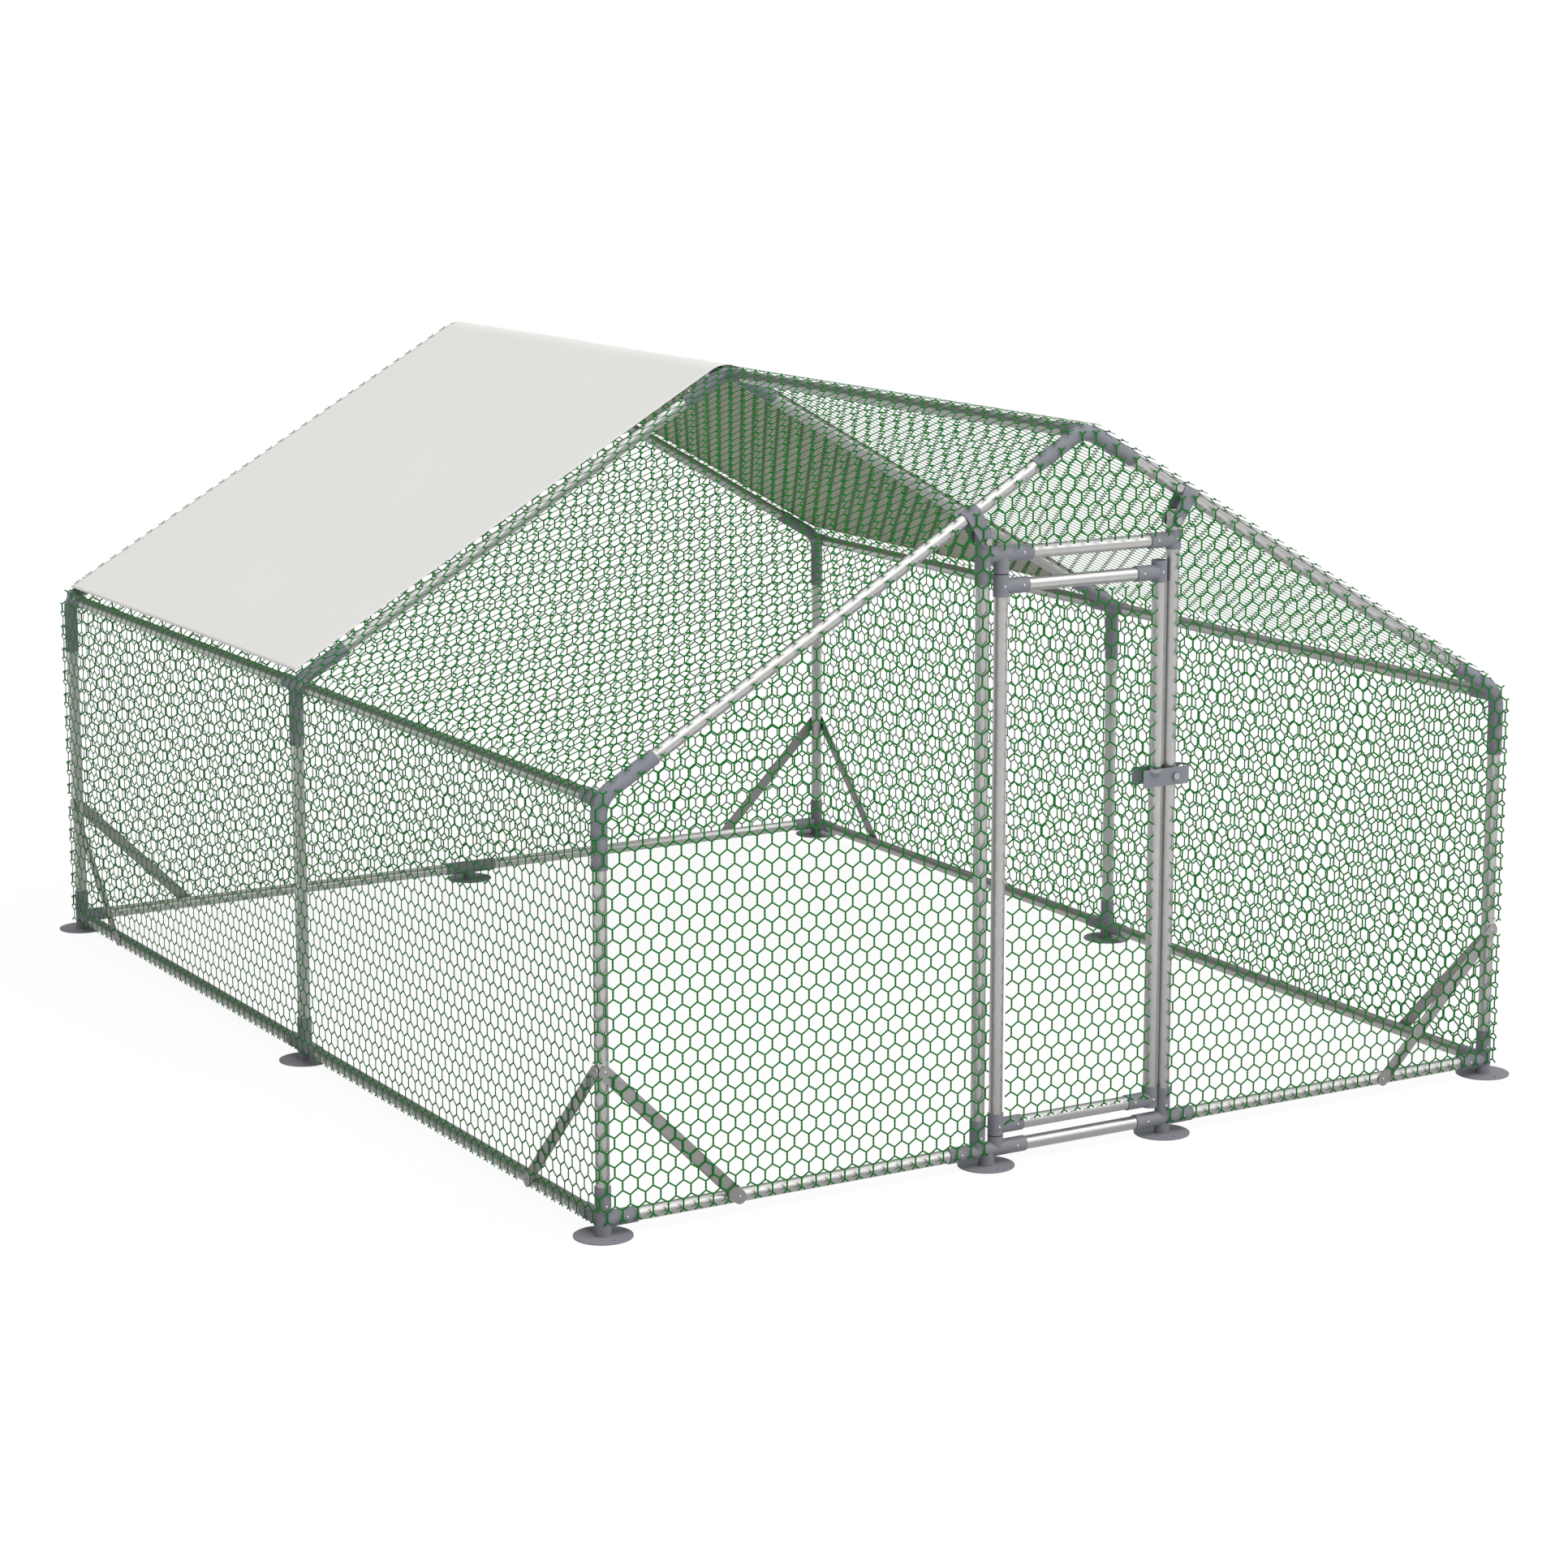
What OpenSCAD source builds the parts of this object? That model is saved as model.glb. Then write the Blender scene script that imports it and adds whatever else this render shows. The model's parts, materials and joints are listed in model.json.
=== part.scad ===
// Walk-in poultry run: a gabled frame of round steel tubes pushed into bent and branched sleeves,
// hexagonal wire netting on every side, a door that turns between two pivot stubs, a fork latch
// and a rain cover over the rear bay. Millimetres, +Z up. The door faces -Y and the origin is on
// the ground at the middle of the footprint.

/* [Run] */
// Distance across the run between post centres
run_w = 3000; // [2700:10:3400]
// Length of one bay between post centres
bay_l = 1953; // [1600:1:2400]
// Slope of the roof in degrees
roof_slope = 30; // [28:0.5:33]
// Height of the bottom rails' centre line
rail_h = 45; // [40:1:60]

/* [Tubes] */
// Outside diameter of the frame and door tubes
tube_d = 38; // [36:0.5:40]
// Wall of the tubes
tube_wall = 1.2; // [0.8:0.1:2]
// Gap all round between a tube and the sleeve that it is pushed into
tube_fit = 0.2; // [0.1:0.05:0.4]
// Gap between the end of a tube and the floor of its socket
end_gap = 0.3; // [0.2:0.1:1]

/* [Sleeves] */
// Wall of the sleeves
sleeve_wall = 2.8; // [2:0.1:3.5]
// Distance from a crossing of centre lines to the floor of a socket
socket_floor = 30; // [28:1:36]
// Length of a foot's arms, from the crossing
foot_arm = 98; // [85:1:120]
// Length of a foot's upright socket, from the crossing
foot_leg = 90; // [75:1:120]
// Radius of the elbows' centre line
bend_r = 75; // [60:1:85]
// Length of an elbow's legs, from the crossing
elbow_leg = 187; // [170:1:220]
// Length of tube inside an elbow's leg
elbow_grip = 100; // [70:1:115]
// Length of the rail sockets on an elbow's sides
side_arm = 88; // [75:1:110]

/* [Feet] */
// Diameter of the foot plates
foot_d = 160; // [130:1:190]
// Thickness of the foot plates
foot_t = 3; // [2:0.5:5]
// Diameter of the ground peg holes
peg_hole_d = 10; // [8:0.5:12]
// Distance between a foot's two peg holes
peg_spacing = 110; // [90:1:120]

/* [Screws] */
// Diameter of a fixing screw's head
screw_head_d = 11; // [9:0.5:13]
// Height of a fixing screw's domed head
screw_head_h = 3; // [2:0.1:4]
// Diameter of a fixing screw's shank
screw_d = 5; // [4:0.5:6]
// Gap all round between a screw or bolt and its hole
screw_fit = 0.15; // [0.1:0.05:0.3]
// Gap between the tip of a fixing screw and the tube that it presses on
tip_gap = 0.05; // [0.05:0.01:0.1]
// Distance from a crossing to the screw on a foot's or a tee's arm
arm_screw = 62; // [50:1:70]
// Distance from a crossing to the screws on a foot's upright socket
leg_screw = 38; // [36:1:60]
// Distance from the end of an elbow's leg to its screws
elbow_screw_inset = 32; // [15:1:60]

/* [Doorway] */
// Place of the post beside the hinges, from the middle of the front
hinge_post_x = -328; // [-400:1:-300]
// Place of the post that holds the latch, from the middle of the front
latch_post_x = 304.5; // [280:0.5:380]
// Gap between the sleeves on the hinge post and on the hinge axis
hinge_gap = 16; // [12:1:30]
// Gap between the sleeves on the latch stile and the latch post
latch_gap = 5; // [4:0.5:20]
// Length of the sleeves past the hinge axis
hinge_arm = 95; // [85:1:120]
// Drop of the sleeve on the hinge post below the header's centre line
hinge_sleeve_drop = 78; // [60:1:100]
// Half height of the sleeve on the latch post
latch_sleeve_half = 27; // [25:1:34]
// Length of the header's arm on the latch post
header_arm = 84; // [75:1:100]

/* [Rafter straps] */
// Distance from a strap's bolt to the rafter's centre line
strap_reach = 82; // [76:1:90]
// Width of a strap over the rafter
strap_w = 48; // [40:1:60]
// Radius of a strap's rounded ends
strap_end_r = 19; // [15:0.5:22]
// Thickness of a strap
strap_t = 2.5; // [2:0.1:2.7]
// Gap between the header's sleeve on the latch post and the strap above it
strap_clear = 7.5; // [2:0.5:60]
// Post left above a strap's bolt
post_head = 33; // [20:1:36]
// Gap between a strap and the rafter and post that it holds
strap_gap = 0.3; // [0.2:0.1:0.5]

/* [Door] */
// Height of the top rail's centre line. The header, the roof and the walls follow it.
door_high_h = 1624; // [1400:1:1900]
// Length of the lower pivot stub that shows above its sleeve
low_stub = 15; // [10:1:40]
// Length of the upper pivot stub that shows below its sleeve
high_stub = 30; // [10:1:60]
// Height of the sleeves of the door's corner tees
tee_h = 61; // [56:1:70]
// Part of a bottom tee that lies below its rail's centre line
low_tee_drop = 23; // [22:1:30]
// Part of a top tee that lies below its rail's centre line
high_tee_drop = 27; // [25:1:34]
// Length of the tees' arms
tee_arm = 83; // [75:1:100]
// Distance that the latch stile ends inside its open tees
stile_inset = 4; // [2:0.5:10]
// Diameter of the hinge pins
pin_d = 20; // [14:1:24]
// Running gap all round between a hinge pin and its bush
pin_fit = 0.06; // [0.02:0.01:0.1]
// Length of the bush in a hinge tee
bush_l = 16; // [12:1:20]
// Depth of the blind hole in the bush
pin_depth = 13; // [8:1:14]
// Gap that shows between a stub and the door
stub_gap = 3; // [2:0.5:5]
// Gap between the end of a hinge pin and the floor of its hole
pin_end_gap = 0.3; // [0.2:0.1:0.6]

/* [Latch] */
// Height of the latch's pivot
latch_h = 1048; // [900:1:1150]
// Reach of the fork towards the door, from the pivot
fork_reach = 109; // [90:1:120]
// Straight part of the fork past the pivot
fork_tail = 32; // [24:1:40]
// Height of the fork
fork_h = 50; // [46:1:51]
// Thickness of the fork
fork_t = 3; // [2:0.1:4]
// Gap between the netting and the front leg of the fork
fork_front_gap = 0.9; // [0.5:0.1:3]
// Gap between the door's stile and the rear leg of the fork
fork_rear_gap = 3.3; // [2:0.1:5]
// Gap between the lifted fork's bridge and the latch post
fork_stop_gap = 1; // [0.5:0.1:2]
// Distance from the pivot to the thumb press
thumb_x = 68; // [50:1:80]
// Width of the thumb press at the top edge
thumb_w = 45; // [30:1:48]
// How far the thumb press stands out
thumb_out = 11; // [5:0.5:12]
// Diameter of the bolts through the posts
bolt_d = 12; // [8:0.5:14]
// Running gap all round between the pivot bolt and the fork
pivot_fit = 0.07; // [0.02:0.01:0.1]
// Width across the flats of bolt heads and nuts
bolt_flats = 19; // [15:0.5:22]
// Height of bolt heads and nuts
bolt_head_h = 7; // [5:0.5:9]
// Gap under bolt heads and nuts
bolt_gap = 0.3; // [0.2:0.1:0.5]

/* [Braces] */
// Distance along post and rail from the crossing to a brace's bolts
brace_reach = 402; // [300:1:500]
// Width of a brace
brace_w = 38; // [30:1:44]
// Thickness of a brace's flattened ends
brace_end_t = 3; // [2:0.1:3.3]
// Thickness of a brace's oval middle
brace_mid_t = 10; // [8:0.5:12]
// Wall of a brace's oval middle
brace_wall = 1.2; // [0.8:0.1:2]
// Length of a flattened end past its bolt
brace_flat = 62; // [58:1:90]
// Length over which a flattened end opens into the oval
brace_neck = 30; // [20:1:60]
// Gap between a brace's oval middle and the netting outside it
brace_net_gap = 0.5; // [0.3:0.1:3]
// Gap between a brace and the tubes that it lies on
brace_gap = 0.3; // [0.2:0.1:0.5]
// Height of a brace bolt's domed head
brace_head_h = 2.6; // [2:0.1:2.7]

/* [Netting] */
// Width of a mesh on the run
net_cell = 500; // [400:10:600]
// Width of a mesh on and above the door
door_cell = 150; // [110:10:200]
// Width of a strand
net_wire = 5; // [4:0.5:8]
// Thickness of the netting
net_t = 3; // [2:0.5:4]
// Width of the edge wires
net_edge = 8; // [6:0.5:12]
// Gap between the netting and the screw heads under it
net_gap = 0.3; // [0.2:0.1:0.6]
// Clear radius in the netting around the latch's pivot
latch_room = 62; // [60:1:90]
// Clear radius in the netting around a strap's bolt
bolt_room = 13; // [11:1:20]

/* [Cover] */
// Distance up the slope from the eave to the cover's lower edge
cover_rise = 45; // [44:1:200]
// How far the cover reaches past the middle rafters towards the front
cover_front = 10; // [0:1:20]
// How far the cover reaches past the rear rafters
cover_rear = 15; // [0:1:25]
// Thickness of the cover
cover_t = 1.5; // [1:0.1:3]
// Gap between the cover and the netting under it
cover_gap = 0.3; // [0.2:0.1:0.6]

/* [Hidden] */
$fn = 48;
// Overrun of cuts past the faces that they open
over = 1;
// Lap of a bent piece over its straight neighbours, and the small step in its surface there
lap = 2;
lap_step = 0.1;
half_w = run_w / 2;
tube_r = tube_d / 2;
bore_r = tube_r + tube_fit;
sleeve_r = bore_r + sleeve_wall;
tube_start = socket_floor + end_gap;
elbow_start = elbow_leg - elbow_grip;
elbow_screw = elbow_leg - elbow_screw_inset;
eave_turn = 90 - roof_slope;
ridge_turn = 2 * roof_slope;
rafter_l = half_w / cos(roof_slope);

// Heights, from the bottom rails up to the door and from the door up to the header and the roof
low_tee_bottom = rail_h + sleeve_r + low_stub + stub_gap;
door_low_h = low_tee_bottom + low_tee_drop;
high_tee_bottom = door_high_h - high_tee_drop;
high_tee_top = high_tee_bottom + tee_h;
header_h = high_tee_top + stub_gap + high_stub + sleeve_r;
strap_drop = strap_reach / cos(roof_slope);
latch_bolt_h = header_h + latch_sleeve_half + strap_clear + strap_end_r;
ridge_h = latch_bolt_h + strap_drop + abs(latch_post_x) * tan(roof_slope);
eave_h = ridge_h - half_w * tan(roof_slope);

function bend_tangent(turn) = bend_r * tan(turn / 2);
function bend_shift(turn) = bend_r / cos(turn / 2) - bend_r;
eave_rail_x = half_w - bend_shift(eave_turn) * cos(eave_turn / 2);
eave_rail_h = eave_h - bend_shift(eave_turn) * sin(eave_turn / 2);
ridge_rail_h = ridge_h - bend_shift(ridge_turn);
function rafter_h(x) = ridge_h - abs(x) * tan(roof_slope);
hinge_step = 2 * sleeve_r + hinge_gap;
latch_step = sleeve_r + tube_r + latch_gap;
hinge_x = hinge_post_x + hinge_step;
latch_x = latch_post_x - latch_step;
foot_mid_x = hinge_post_x + hinge_step / 2;
function strap_bolt_h(x) = rafter_h(x) - strap_drop;
function post_top(x) = strap_bolt_h(x) + post_head;
pin_l = stub_gap + pin_depth - pin_end_gap;
net_in = sleeve_r + screw_head_h + net_gap;
net_out = net_in + net_t;
cover_in = net_out + cover_gap;
fork_front = net_out + fork_front_gap;
fork_rear = tube_r + fork_rear_gap;
fork_bend_r = (fork_front + fork_rear) / 2;
fork_mid_y = (fork_rear - fork_front) / 2;
brace_l = brace_reach * sqrt(2);
brace_face = tube_r + brace_gap;
brace_mid_z = net_in - brace_net_gap - brace_face - brace_mid_t / 2;
brace_tube_from = brace_flat + brace_neck;
galvanised = "silver";
coated = "lightslategray";
netting = "darkgreen";
bright = "gainsboro";

// Turns that lead +Z along the named direction
to_right = [0, 90, 0];
to_left = [0, -90, 0];
to_rear = [-90, 0, 0];
to_front = [90, 0, 0];

// Tubes

// A tube along +Z between two heights
module tube(from, to) {
    translate([0, 0, from])
        difference() {
            cylinder(r = tube_r, h = to - from);
            translate([0, 0, -over]) cylinder(r = tube_r - tube_wall, h = to - from + 2 * over);
        }
}

// A tube along X or Y between two places
module tube_x(from, to) { rotate(to_right) tube(from, to); }
module tube_y(from, to) { rotate(to_rear) tube(from, to); }

module post(x, y) {
    color(galvanised) translate([x, y, 0]) tube(rail_h + tube_start, eave_h - elbow_start);
}
module post_front_left() { post(-half_w, -bay_l); }
module post_front_right() { post(half_w, -bay_l); }
module post_mid_left() { post(-half_w, 0); }
module post_mid_right() { post(half_w, 0); }
module post_rear_left() { post(-half_w, bay_l); }
module post_rear_right() { post(half_w, bay_l); }

// A hole across a door post for a bolt along Y
module cross_hole(h) { translate([0, 0, h]) rotate(to_rear) cylinder(d = bolt_d + 2 * screw_fit, h = run_w, center = true); }

module hinge_post() {
    color(galvanised) translate([hinge_post_x, -bay_l, 0])
        difference() {
            tube(rail_h + tube_start, post_top(hinge_post_x));
            cross_hole(strap_bolt_h(hinge_post_x));
        }
}
module latch_post() {
    color(galvanised) translate([latch_post_x, -bay_l, 0])
        difference() {
            tube(rail_h + tube_start, post_top(latch_post_x));
            cross_hole(strap_bolt_h(latch_post_x));
            cross_hole(latch_h);
        }
}

// The two rails of one side, one in each bay
module bay_rails(x, h) {
    color(galvanised) translate([x, 0, h]) {
        tube_y(-bay_l + tube_start, -tube_start);
        tube_y(tube_start, bay_l - tube_start);
    }
}
module left_sills() { bay_rails(-half_w, rail_h); }
module right_sills() { bay_rails(half_w, rail_h); }
module left_eave_rails() { bay_rails(-eave_rail_x, eave_rail_h); }
module right_eave_rails() { bay_rails(eave_rail_x, eave_rail_h); }
module ridge_rails() { bay_rails(0, ridge_rail_h); }
module rear_sills() {
    color(galvanised) translate([0, bay_l, rail_h]) {
        tube_x(-half_w + tube_start, -tube_start);
        tube_x(tube_start, half_w - tube_start);
    }
}
module front_tube(from, to, h) {
    color(galvanised) translate([0, -bay_l, h]) tube_x(from + tube_start, to - tube_start);
}
module front_left_sill() { front_tube(-half_w, hinge_post_x, rail_h); }
module door_sill() { front_tube(hinge_x, latch_post_x, rail_h); }
module front_right_sill() { front_tube(latch_post_x, half_w, rail_h); }
module door_header() { front_tube(hinge_x, latch_post_x, header_h); }

// The pair of rafters of one frame
module rafters(y) {
    color(galvanised) for (side = [-1, 1])
        translate([side * half_w, y, eave_h]) rotate([0, -side * (90 - roof_slope), 0])
            tube(elbow_start, rafter_l - elbow_start);
}
module front_rafters() { rafters(-bay_l); }
module mid_rafters() { rafters(0); }
module rear_rafters() { rafters(bay_l); }

// Screws

// Puts a screw on a sleeve that runs along a direction, facing a turn around that sleeve
module on_sleeve(direction, along, facing) {
    rotate(direction) translate([0, 0, along]) rotate([0, 0, facing]) rotate([0, 90, 0])
        translate([0, 0, sleeve_r]) children();
}

// A domed head on its seat, as the cap of a ball
module domed_head(d, h) {
    ball = (d * d / 4 + h * h) / (2 * h);
    intersection() {
        translate([0, 0, h - ball]) sphere(r = ball);
        translate([0, 0, -sleeve_wall]) cylinder(d = d, h = sleeve_wall + 2 * h);
        translate([-d, -d, 0]) cube([2 * d, 2 * d, 2 * h]);
    }
}

// A fixing screw through a sleeve's wall. Its seat is the highest line of the round sleeve, and its
// tip presses on the tube inside.
module screw() {
    domed_head(screw_head_d, screw_head_h);
    translate([0, 0, -sleeve_wall - tube_fit + tip_gap]) cylinder(d = screw_d, h = sleeve_wall + tube_fit);
}
module screw_hole() {
    translate([0, 0, -sleeve_wall - over]) cylinder(d = screw_d + 2 * screw_fit, h = sleeve_wall + 2 * over);
}

// Feet

// Arms of each kind of foot: direction, length, and the side that the arm's screw faces
corner_arms = [[to_right, foot_arm, -90], [to_rear, foot_arm, 180]];
corner_leg_screws = [180, -90];
mid_arms = [[to_rear, foot_arm, 180], [to_front, foot_arm, 180]];
mid_leg_screws = [180];
rear_arms = [[to_right, foot_arm, 90], [to_left, foot_arm, 90]];
latch_arms = [[to_right, foot_arm, -90], [to_left, foot_arm, -90]];
latch_leg_screws = [-90];
corner_places = [[-1, -1, 0], [1, -1, 90], [1, 1, 180], [-1, 1, 270]];

module foot_plate() {
    difference() {
        cylinder(d = foot_d, h = foot_t);
        for (side = [-1, 1])
            translate([0, side * peg_spacing / 2, -over]) cylinder(d = peg_hole_d, h = foot_t + 2 * over);
    }
}
module foot_screw_places(arms, leg_screws) {
    translate([0, 0, rail_h]) {
        for (arm = arms) on_sleeve(arm[0], arm_screw, arm[2]) children();
        for (facing = leg_screws) on_sleeve([0, 0, 0], leg_screw, facing) children();
    }
}
module foot(arms, leg, leg_screws, turn = 0) {
    foot_plate();
    rotate([0, 0, turn])
        difference() {
            union() {
                translate([0, 0, foot_t]) cylinder(r = sleeve_r, h = rail_h + leg - foot_t);
                translate([0, 0, rail_h]) for (arm = arms) rotate(arm[0]) cylinder(r = sleeve_r, h = arm[1]);
            }
            if (leg > 0) translate([0, 0, rail_h + socket_floor]) cylinder(r = bore_r, h = leg);
            translate([0, 0, rail_h]) for (arm = arms)
                rotate(arm[0]) translate([0, 0, socket_floor]) cylinder(r = bore_r, h = arm[1]);
            foot_screw_places(arms, leg_screws) screw_hole();
        }
}
module at_corner(place) { translate([place[0] * half_w, place[1] * bay_l, 0]) children(); }
module corner_feet() {
    color(coated) for (place = corner_places)
        at_corner(place) foot(corner_arms, foot_leg, corner_leg_screws, place[2]);
}
module mid_feet() {
    color(coated) for (side = [-1, 1])
        translate([side * half_w, 0, 0]) foot(mid_arms, foot_leg, mid_leg_screws, side < 0 ? 0 : 180);
}
module rear_foot() { color(coated) translate([0, bay_l, 0]) foot(rear_arms, 0, []); }
module latch_foot() {
    color(coated) translate([latch_post_x, -bay_l, 0]) foot(latch_arms, foot_leg, latch_leg_screws);
}

// A stub with the pin that the door turns on, standing on +Z
module pivot_stub(length) {
    cylinder(r = sleeve_r, h = length);
    cylinder(d = pin_d, h = length + pin_l);
}
module hinge_foot_screw_places() {
    translate([hinge_post_x, -bay_l, rail_h]) {
        on_sleeve(to_left, arm_screw, -90) children();
        on_sleeve([0, 0, 0], leg_screw, -90) children();
    }
    translate([hinge_x, -bay_l, rail_h]) on_sleeve(to_right, arm_screw, -90) children();
}
module hinge_foot() {
    color(coated) {
        translate([foot_mid_x, -bay_l, 0]) foot_plate();
        difference() {
            union() {
                translate([foot_mid_x, -bay_l, foot_t]) cylinder(r = sleeve_r, h = rail_h - foot_t);
                translate([hinge_post_x, -bay_l, rail_h]) cylinder(r = sleeve_r, h = foot_leg);
                translate([hinge_x, -bay_l, rail_h]) pivot_stub(low_tee_bottom - stub_gap - rail_h);
                translate([hinge_post_x - foot_arm, -bay_l, rail_h]) rotate(to_right)
                    cylinder(r = sleeve_r, h = foot_arm + hinge_step + hinge_arm);
            }
            translate([hinge_post_x, -bay_l, rail_h + socket_floor]) cylinder(r = bore_r, h = foot_leg);
            translate([hinge_post_x - socket_floor, -bay_l, rail_h]) rotate(to_left)
                cylinder(r = bore_r, h = foot_arm);
            translate([hinge_x + socket_floor, -bay_l, rail_h]) rotate(to_right)
                cylinder(r = bore_r, h = hinge_arm);
            hinge_foot_screw_places() screw_hole();
        }
    }
}

// Elbows. The bend lies in the XY plane with the crossing of its centre lines at the origin and
// the hollow of the bend towards +X. Rail sockets stand on its sides along Z.

module leg(turn, side) { rotate([0, 0, side * (90 - turn / 2)]) rotate(to_right) children(); }
module bend(turn, r, reach, step) {
    translate([bend_r / cos(turn / 2), 0, 0]) rotate([0, 0, 180 - turn / 2])
        rotate_extrude(angle = turn) translate([bend_r, 0]) circle(r = r + step);
    for (side = [-1, 1]) leg(turn, side)
        translate([0, 0, bend_tangent(turn) - lap]) cylinder(r = r, h = reach - bend_tangent(turn) + lap);
}
module elbow_screw_places(turn, sockets) {
    for (side = [-1, 1], facing = [-90, 90])
        leg(turn, side) on_sleeve([0, 0, 0], elbow_screw, facing) children();
    for (socket = sockets) translate([bend_shift(turn), 0, 0])
        on_sleeve([0, socket > 0 ? 0 : 180, 0], arm_screw, socket > 0 ? 180 : 0) children();
}
module elbow(turn, sockets) {
    difference() {
        union() {
            bend(turn, sleeve_r, elbow_leg, lap_step);
            for (socket = sockets) translate([bend_shift(turn), 0, 0])
                rotate([0, socket > 0 ? 0 : 180, 0]) cylinder(r = sleeve_r, h = side_arm);
        }
        bend(turn, bore_r, elbow_leg + over, -tube_wall);
        for (socket = sockets) translate([bend_shift(turn), 0, 0])
            rotate([0, socket > 0 ? 0 : 180, 0]) translate([0, 0, socket_floor]) cylinder(r = bore_r, h = side_arm);
        elbow_screw_places(turn, sockets) screw_hole();
    }
}

// Places of the elbows, with the socket sides that look along +Y or -Y
module at_eave(side, y) {
    translate([side * half_w, y, eave_h]) rotate([90, 0, 0])
        rotate([0, 0, side < 0 ? -eave_turn / 2 : 180 + eave_turn / 2]) children();
}
module at_ridge(y) { translate([0, y, ridge_h]) rotate([90, 0, 0]) rotate([0, 0, -90]) children(); }
module eave_corners() {
    color(coated) for (side = [-1, 1], end = [-1, 1]) at_eave(side, end * bay_l) elbow(eave_turn, [end]);
}
module eave_mids() { color(coated) for (side = [-1, 1]) at_eave(side, 0) elbow(eave_turn, [-1, 1]); }
module ridge_ends() { color(coated) for (end = [-1, 1]) at_ridge(end * bay_l) elbow(ridge_turn, [end]); }
module ridge_mid() { color(coated) at_ridge(0) elbow(ridge_turn, [-1, 1]); }

// Header tees

module header_hinge_screw_places() {
    translate([hinge_post_x, -bay_l, header_h]) on_sleeve([180, 0, 0], leg_screw, 90) children();
    translate([hinge_x, -bay_l, header_h]) on_sleeve(to_right, arm_screw, -90) children();
}
module header_latch_screw_places() {
    translate([latch_post_x, -bay_l, header_h]) {
        on_sleeve([0, 0, 0], 0, -90) children();
        on_sleeve(to_left, arm_screw, -90) children();
    }
}
module header_hinge_tee() {
    top = post_top(hinge_post_x);
    bottom = header_h - hinge_sleeve_drop;
    color(coated) translate([0, -bay_l, 0])
        difference() {
            union() {
                translate([hinge_post_x, 0, bottom]) cylinder(r = sleeve_r, h = top - bottom);
                translate([hinge_post_x, 0, header_h]) rotate(to_right)
                    cylinder(r = sleeve_r, h = hinge_step + hinge_arm);
                translate([hinge_x, 0, header_h]) rotate([180, 0, 0])
                    pivot_stub(header_h - high_tee_top - stub_gap);
            }
            translate([hinge_post_x, 0, bottom - over]) cylinder(r = bore_r, h = top - bottom + 2 * over);
            translate([hinge_x + socket_floor, 0, header_h]) rotate(to_right)
                cylinder(r = bore_r, h = hinge_arm);
            translate([hinge_post_x, 0, 0]) cross_hole(strap_bolt_h(hinge_post_x));
            translate([0, bay_l, 0]) header_hinge_screw_places() screw_hole();
        }
}
module header_latch_tee() {
    color(coated) difference() {
        translate([latch_post_x, -bay_l, header_h])
            difference() {
                union() {
                    cylinder(r = sleeve_r, h = 2 * latch_sleeve_half, center = true);
                    rotate(to_left) cylinder(r = sleeve_r, h = header_arm);
                }
                cylinder(r = bore_r, h = 2 * latch_sleeve_half + 2 * over, center = true);
                translate([-socket_floor, 0, 0]) rotate(to_left) cylinder(r = bore_r, h = header_arm);
            }
        header_latch_screw_places() screw_hole();
    }
}

// Rafter straps. A strap is folded over the rafter, and its legs run down square to the rafter on
// both sides of the post, where one bolt goes through all of them.

module strap_outline(reach) {
    circle(r = strap_end_r);
    polygon([[-strap_end_r, 0], [strap_end_r, 0], [strap_w / 2, reach], [-strap_w / 2, reach]]);
}
module rafter_strap(x, inside) {
    fold = strap_reach + tube_r + strap_gap - inside;
    tilt = x < 0 ? -roof_slope : roof_slope;
    color(coated) translate([x, -bay_l, strap_bolt_h(x)]) rotate([0, tilt, 0])
        difference() {
            union() {
                for (side = [-1, 1])
                    translate([0, side * (inside + strap_t / 2), 0]) rotate([90, 0, 0])
                        linear_extrude(height = strap_t, center = true) strap_outline(fold);
                translate([0, 0, fold]) rotate([0, 90, 0])
                    difference() {
                        cylinder(r = inside + strap_t, h = strap_w, center = true);
                        cylinder(r = inside, h = strap_w + 2 * over, center = true);
                        translate([0, -2 * inside, -strap_w]) cube([4 * inside, 4 * inside, 2 * strap_w]);
                    }
            }
            rotate([90, 0, 0]) cylinder(d = bolt_d + 2 * screw_fit, h = 4 * inside, center = true);
        }
}
hinge_strap_in = sleeve_r + strap_gap;
latch_strap_in = tube_r + strap_gap;
module hinge_side_strap() { rafter_strap(hinge_post_x, hinge_strap_in); }
module latch_side_strap() { rafter_strap(latch_post_x, latch_strap_in); }

// Hexagon bolts

module hex_head() { cylinder(d = bolt_flats / cos(30), h = bolt_head_h, $fn = 6); }

// A bolt along Y with its head in front of one face and its nut behind the other
module through_bolt(front, rear) {
    translate([0, -front - bolt_gap, 0]) rotate(to_front) hex_head();
    translate([0, rear + bolt_gap, 0]) rotate(to_rear) hex_head();
    translate([0, -front - bolt_gap - bolt_head_h / 2, 0]) rotate(to_rear)
        cylinder(d = bolt_d, h = front + rear + 2 * bolt_gap + bolt_head_h);
}
module strap_bolt(x, inside) {
    translate([x, -bay_l, strap_bolt_h(x)]) through_bolt(inside + strap_t, inside + strap_t);
}
module through_bolts() {
    color(bright) {
        strap_bolt(hinge_post_x, hinge_strap_in);
        strap_bolt(latch_post_x, latch_strap_in);
        translate([latch_post_x, -bay_l, latch_h]) through_bolt(fork_front + fork_t, fork_rear + fork_t);
    }
}

// Braces. A brace lies on the outside of a post and a bottom rail: an oval tube with flat ends.
// Its bolts are on Z, its outer side is +Z, and it runs along +X from the post's bolt.

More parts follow.
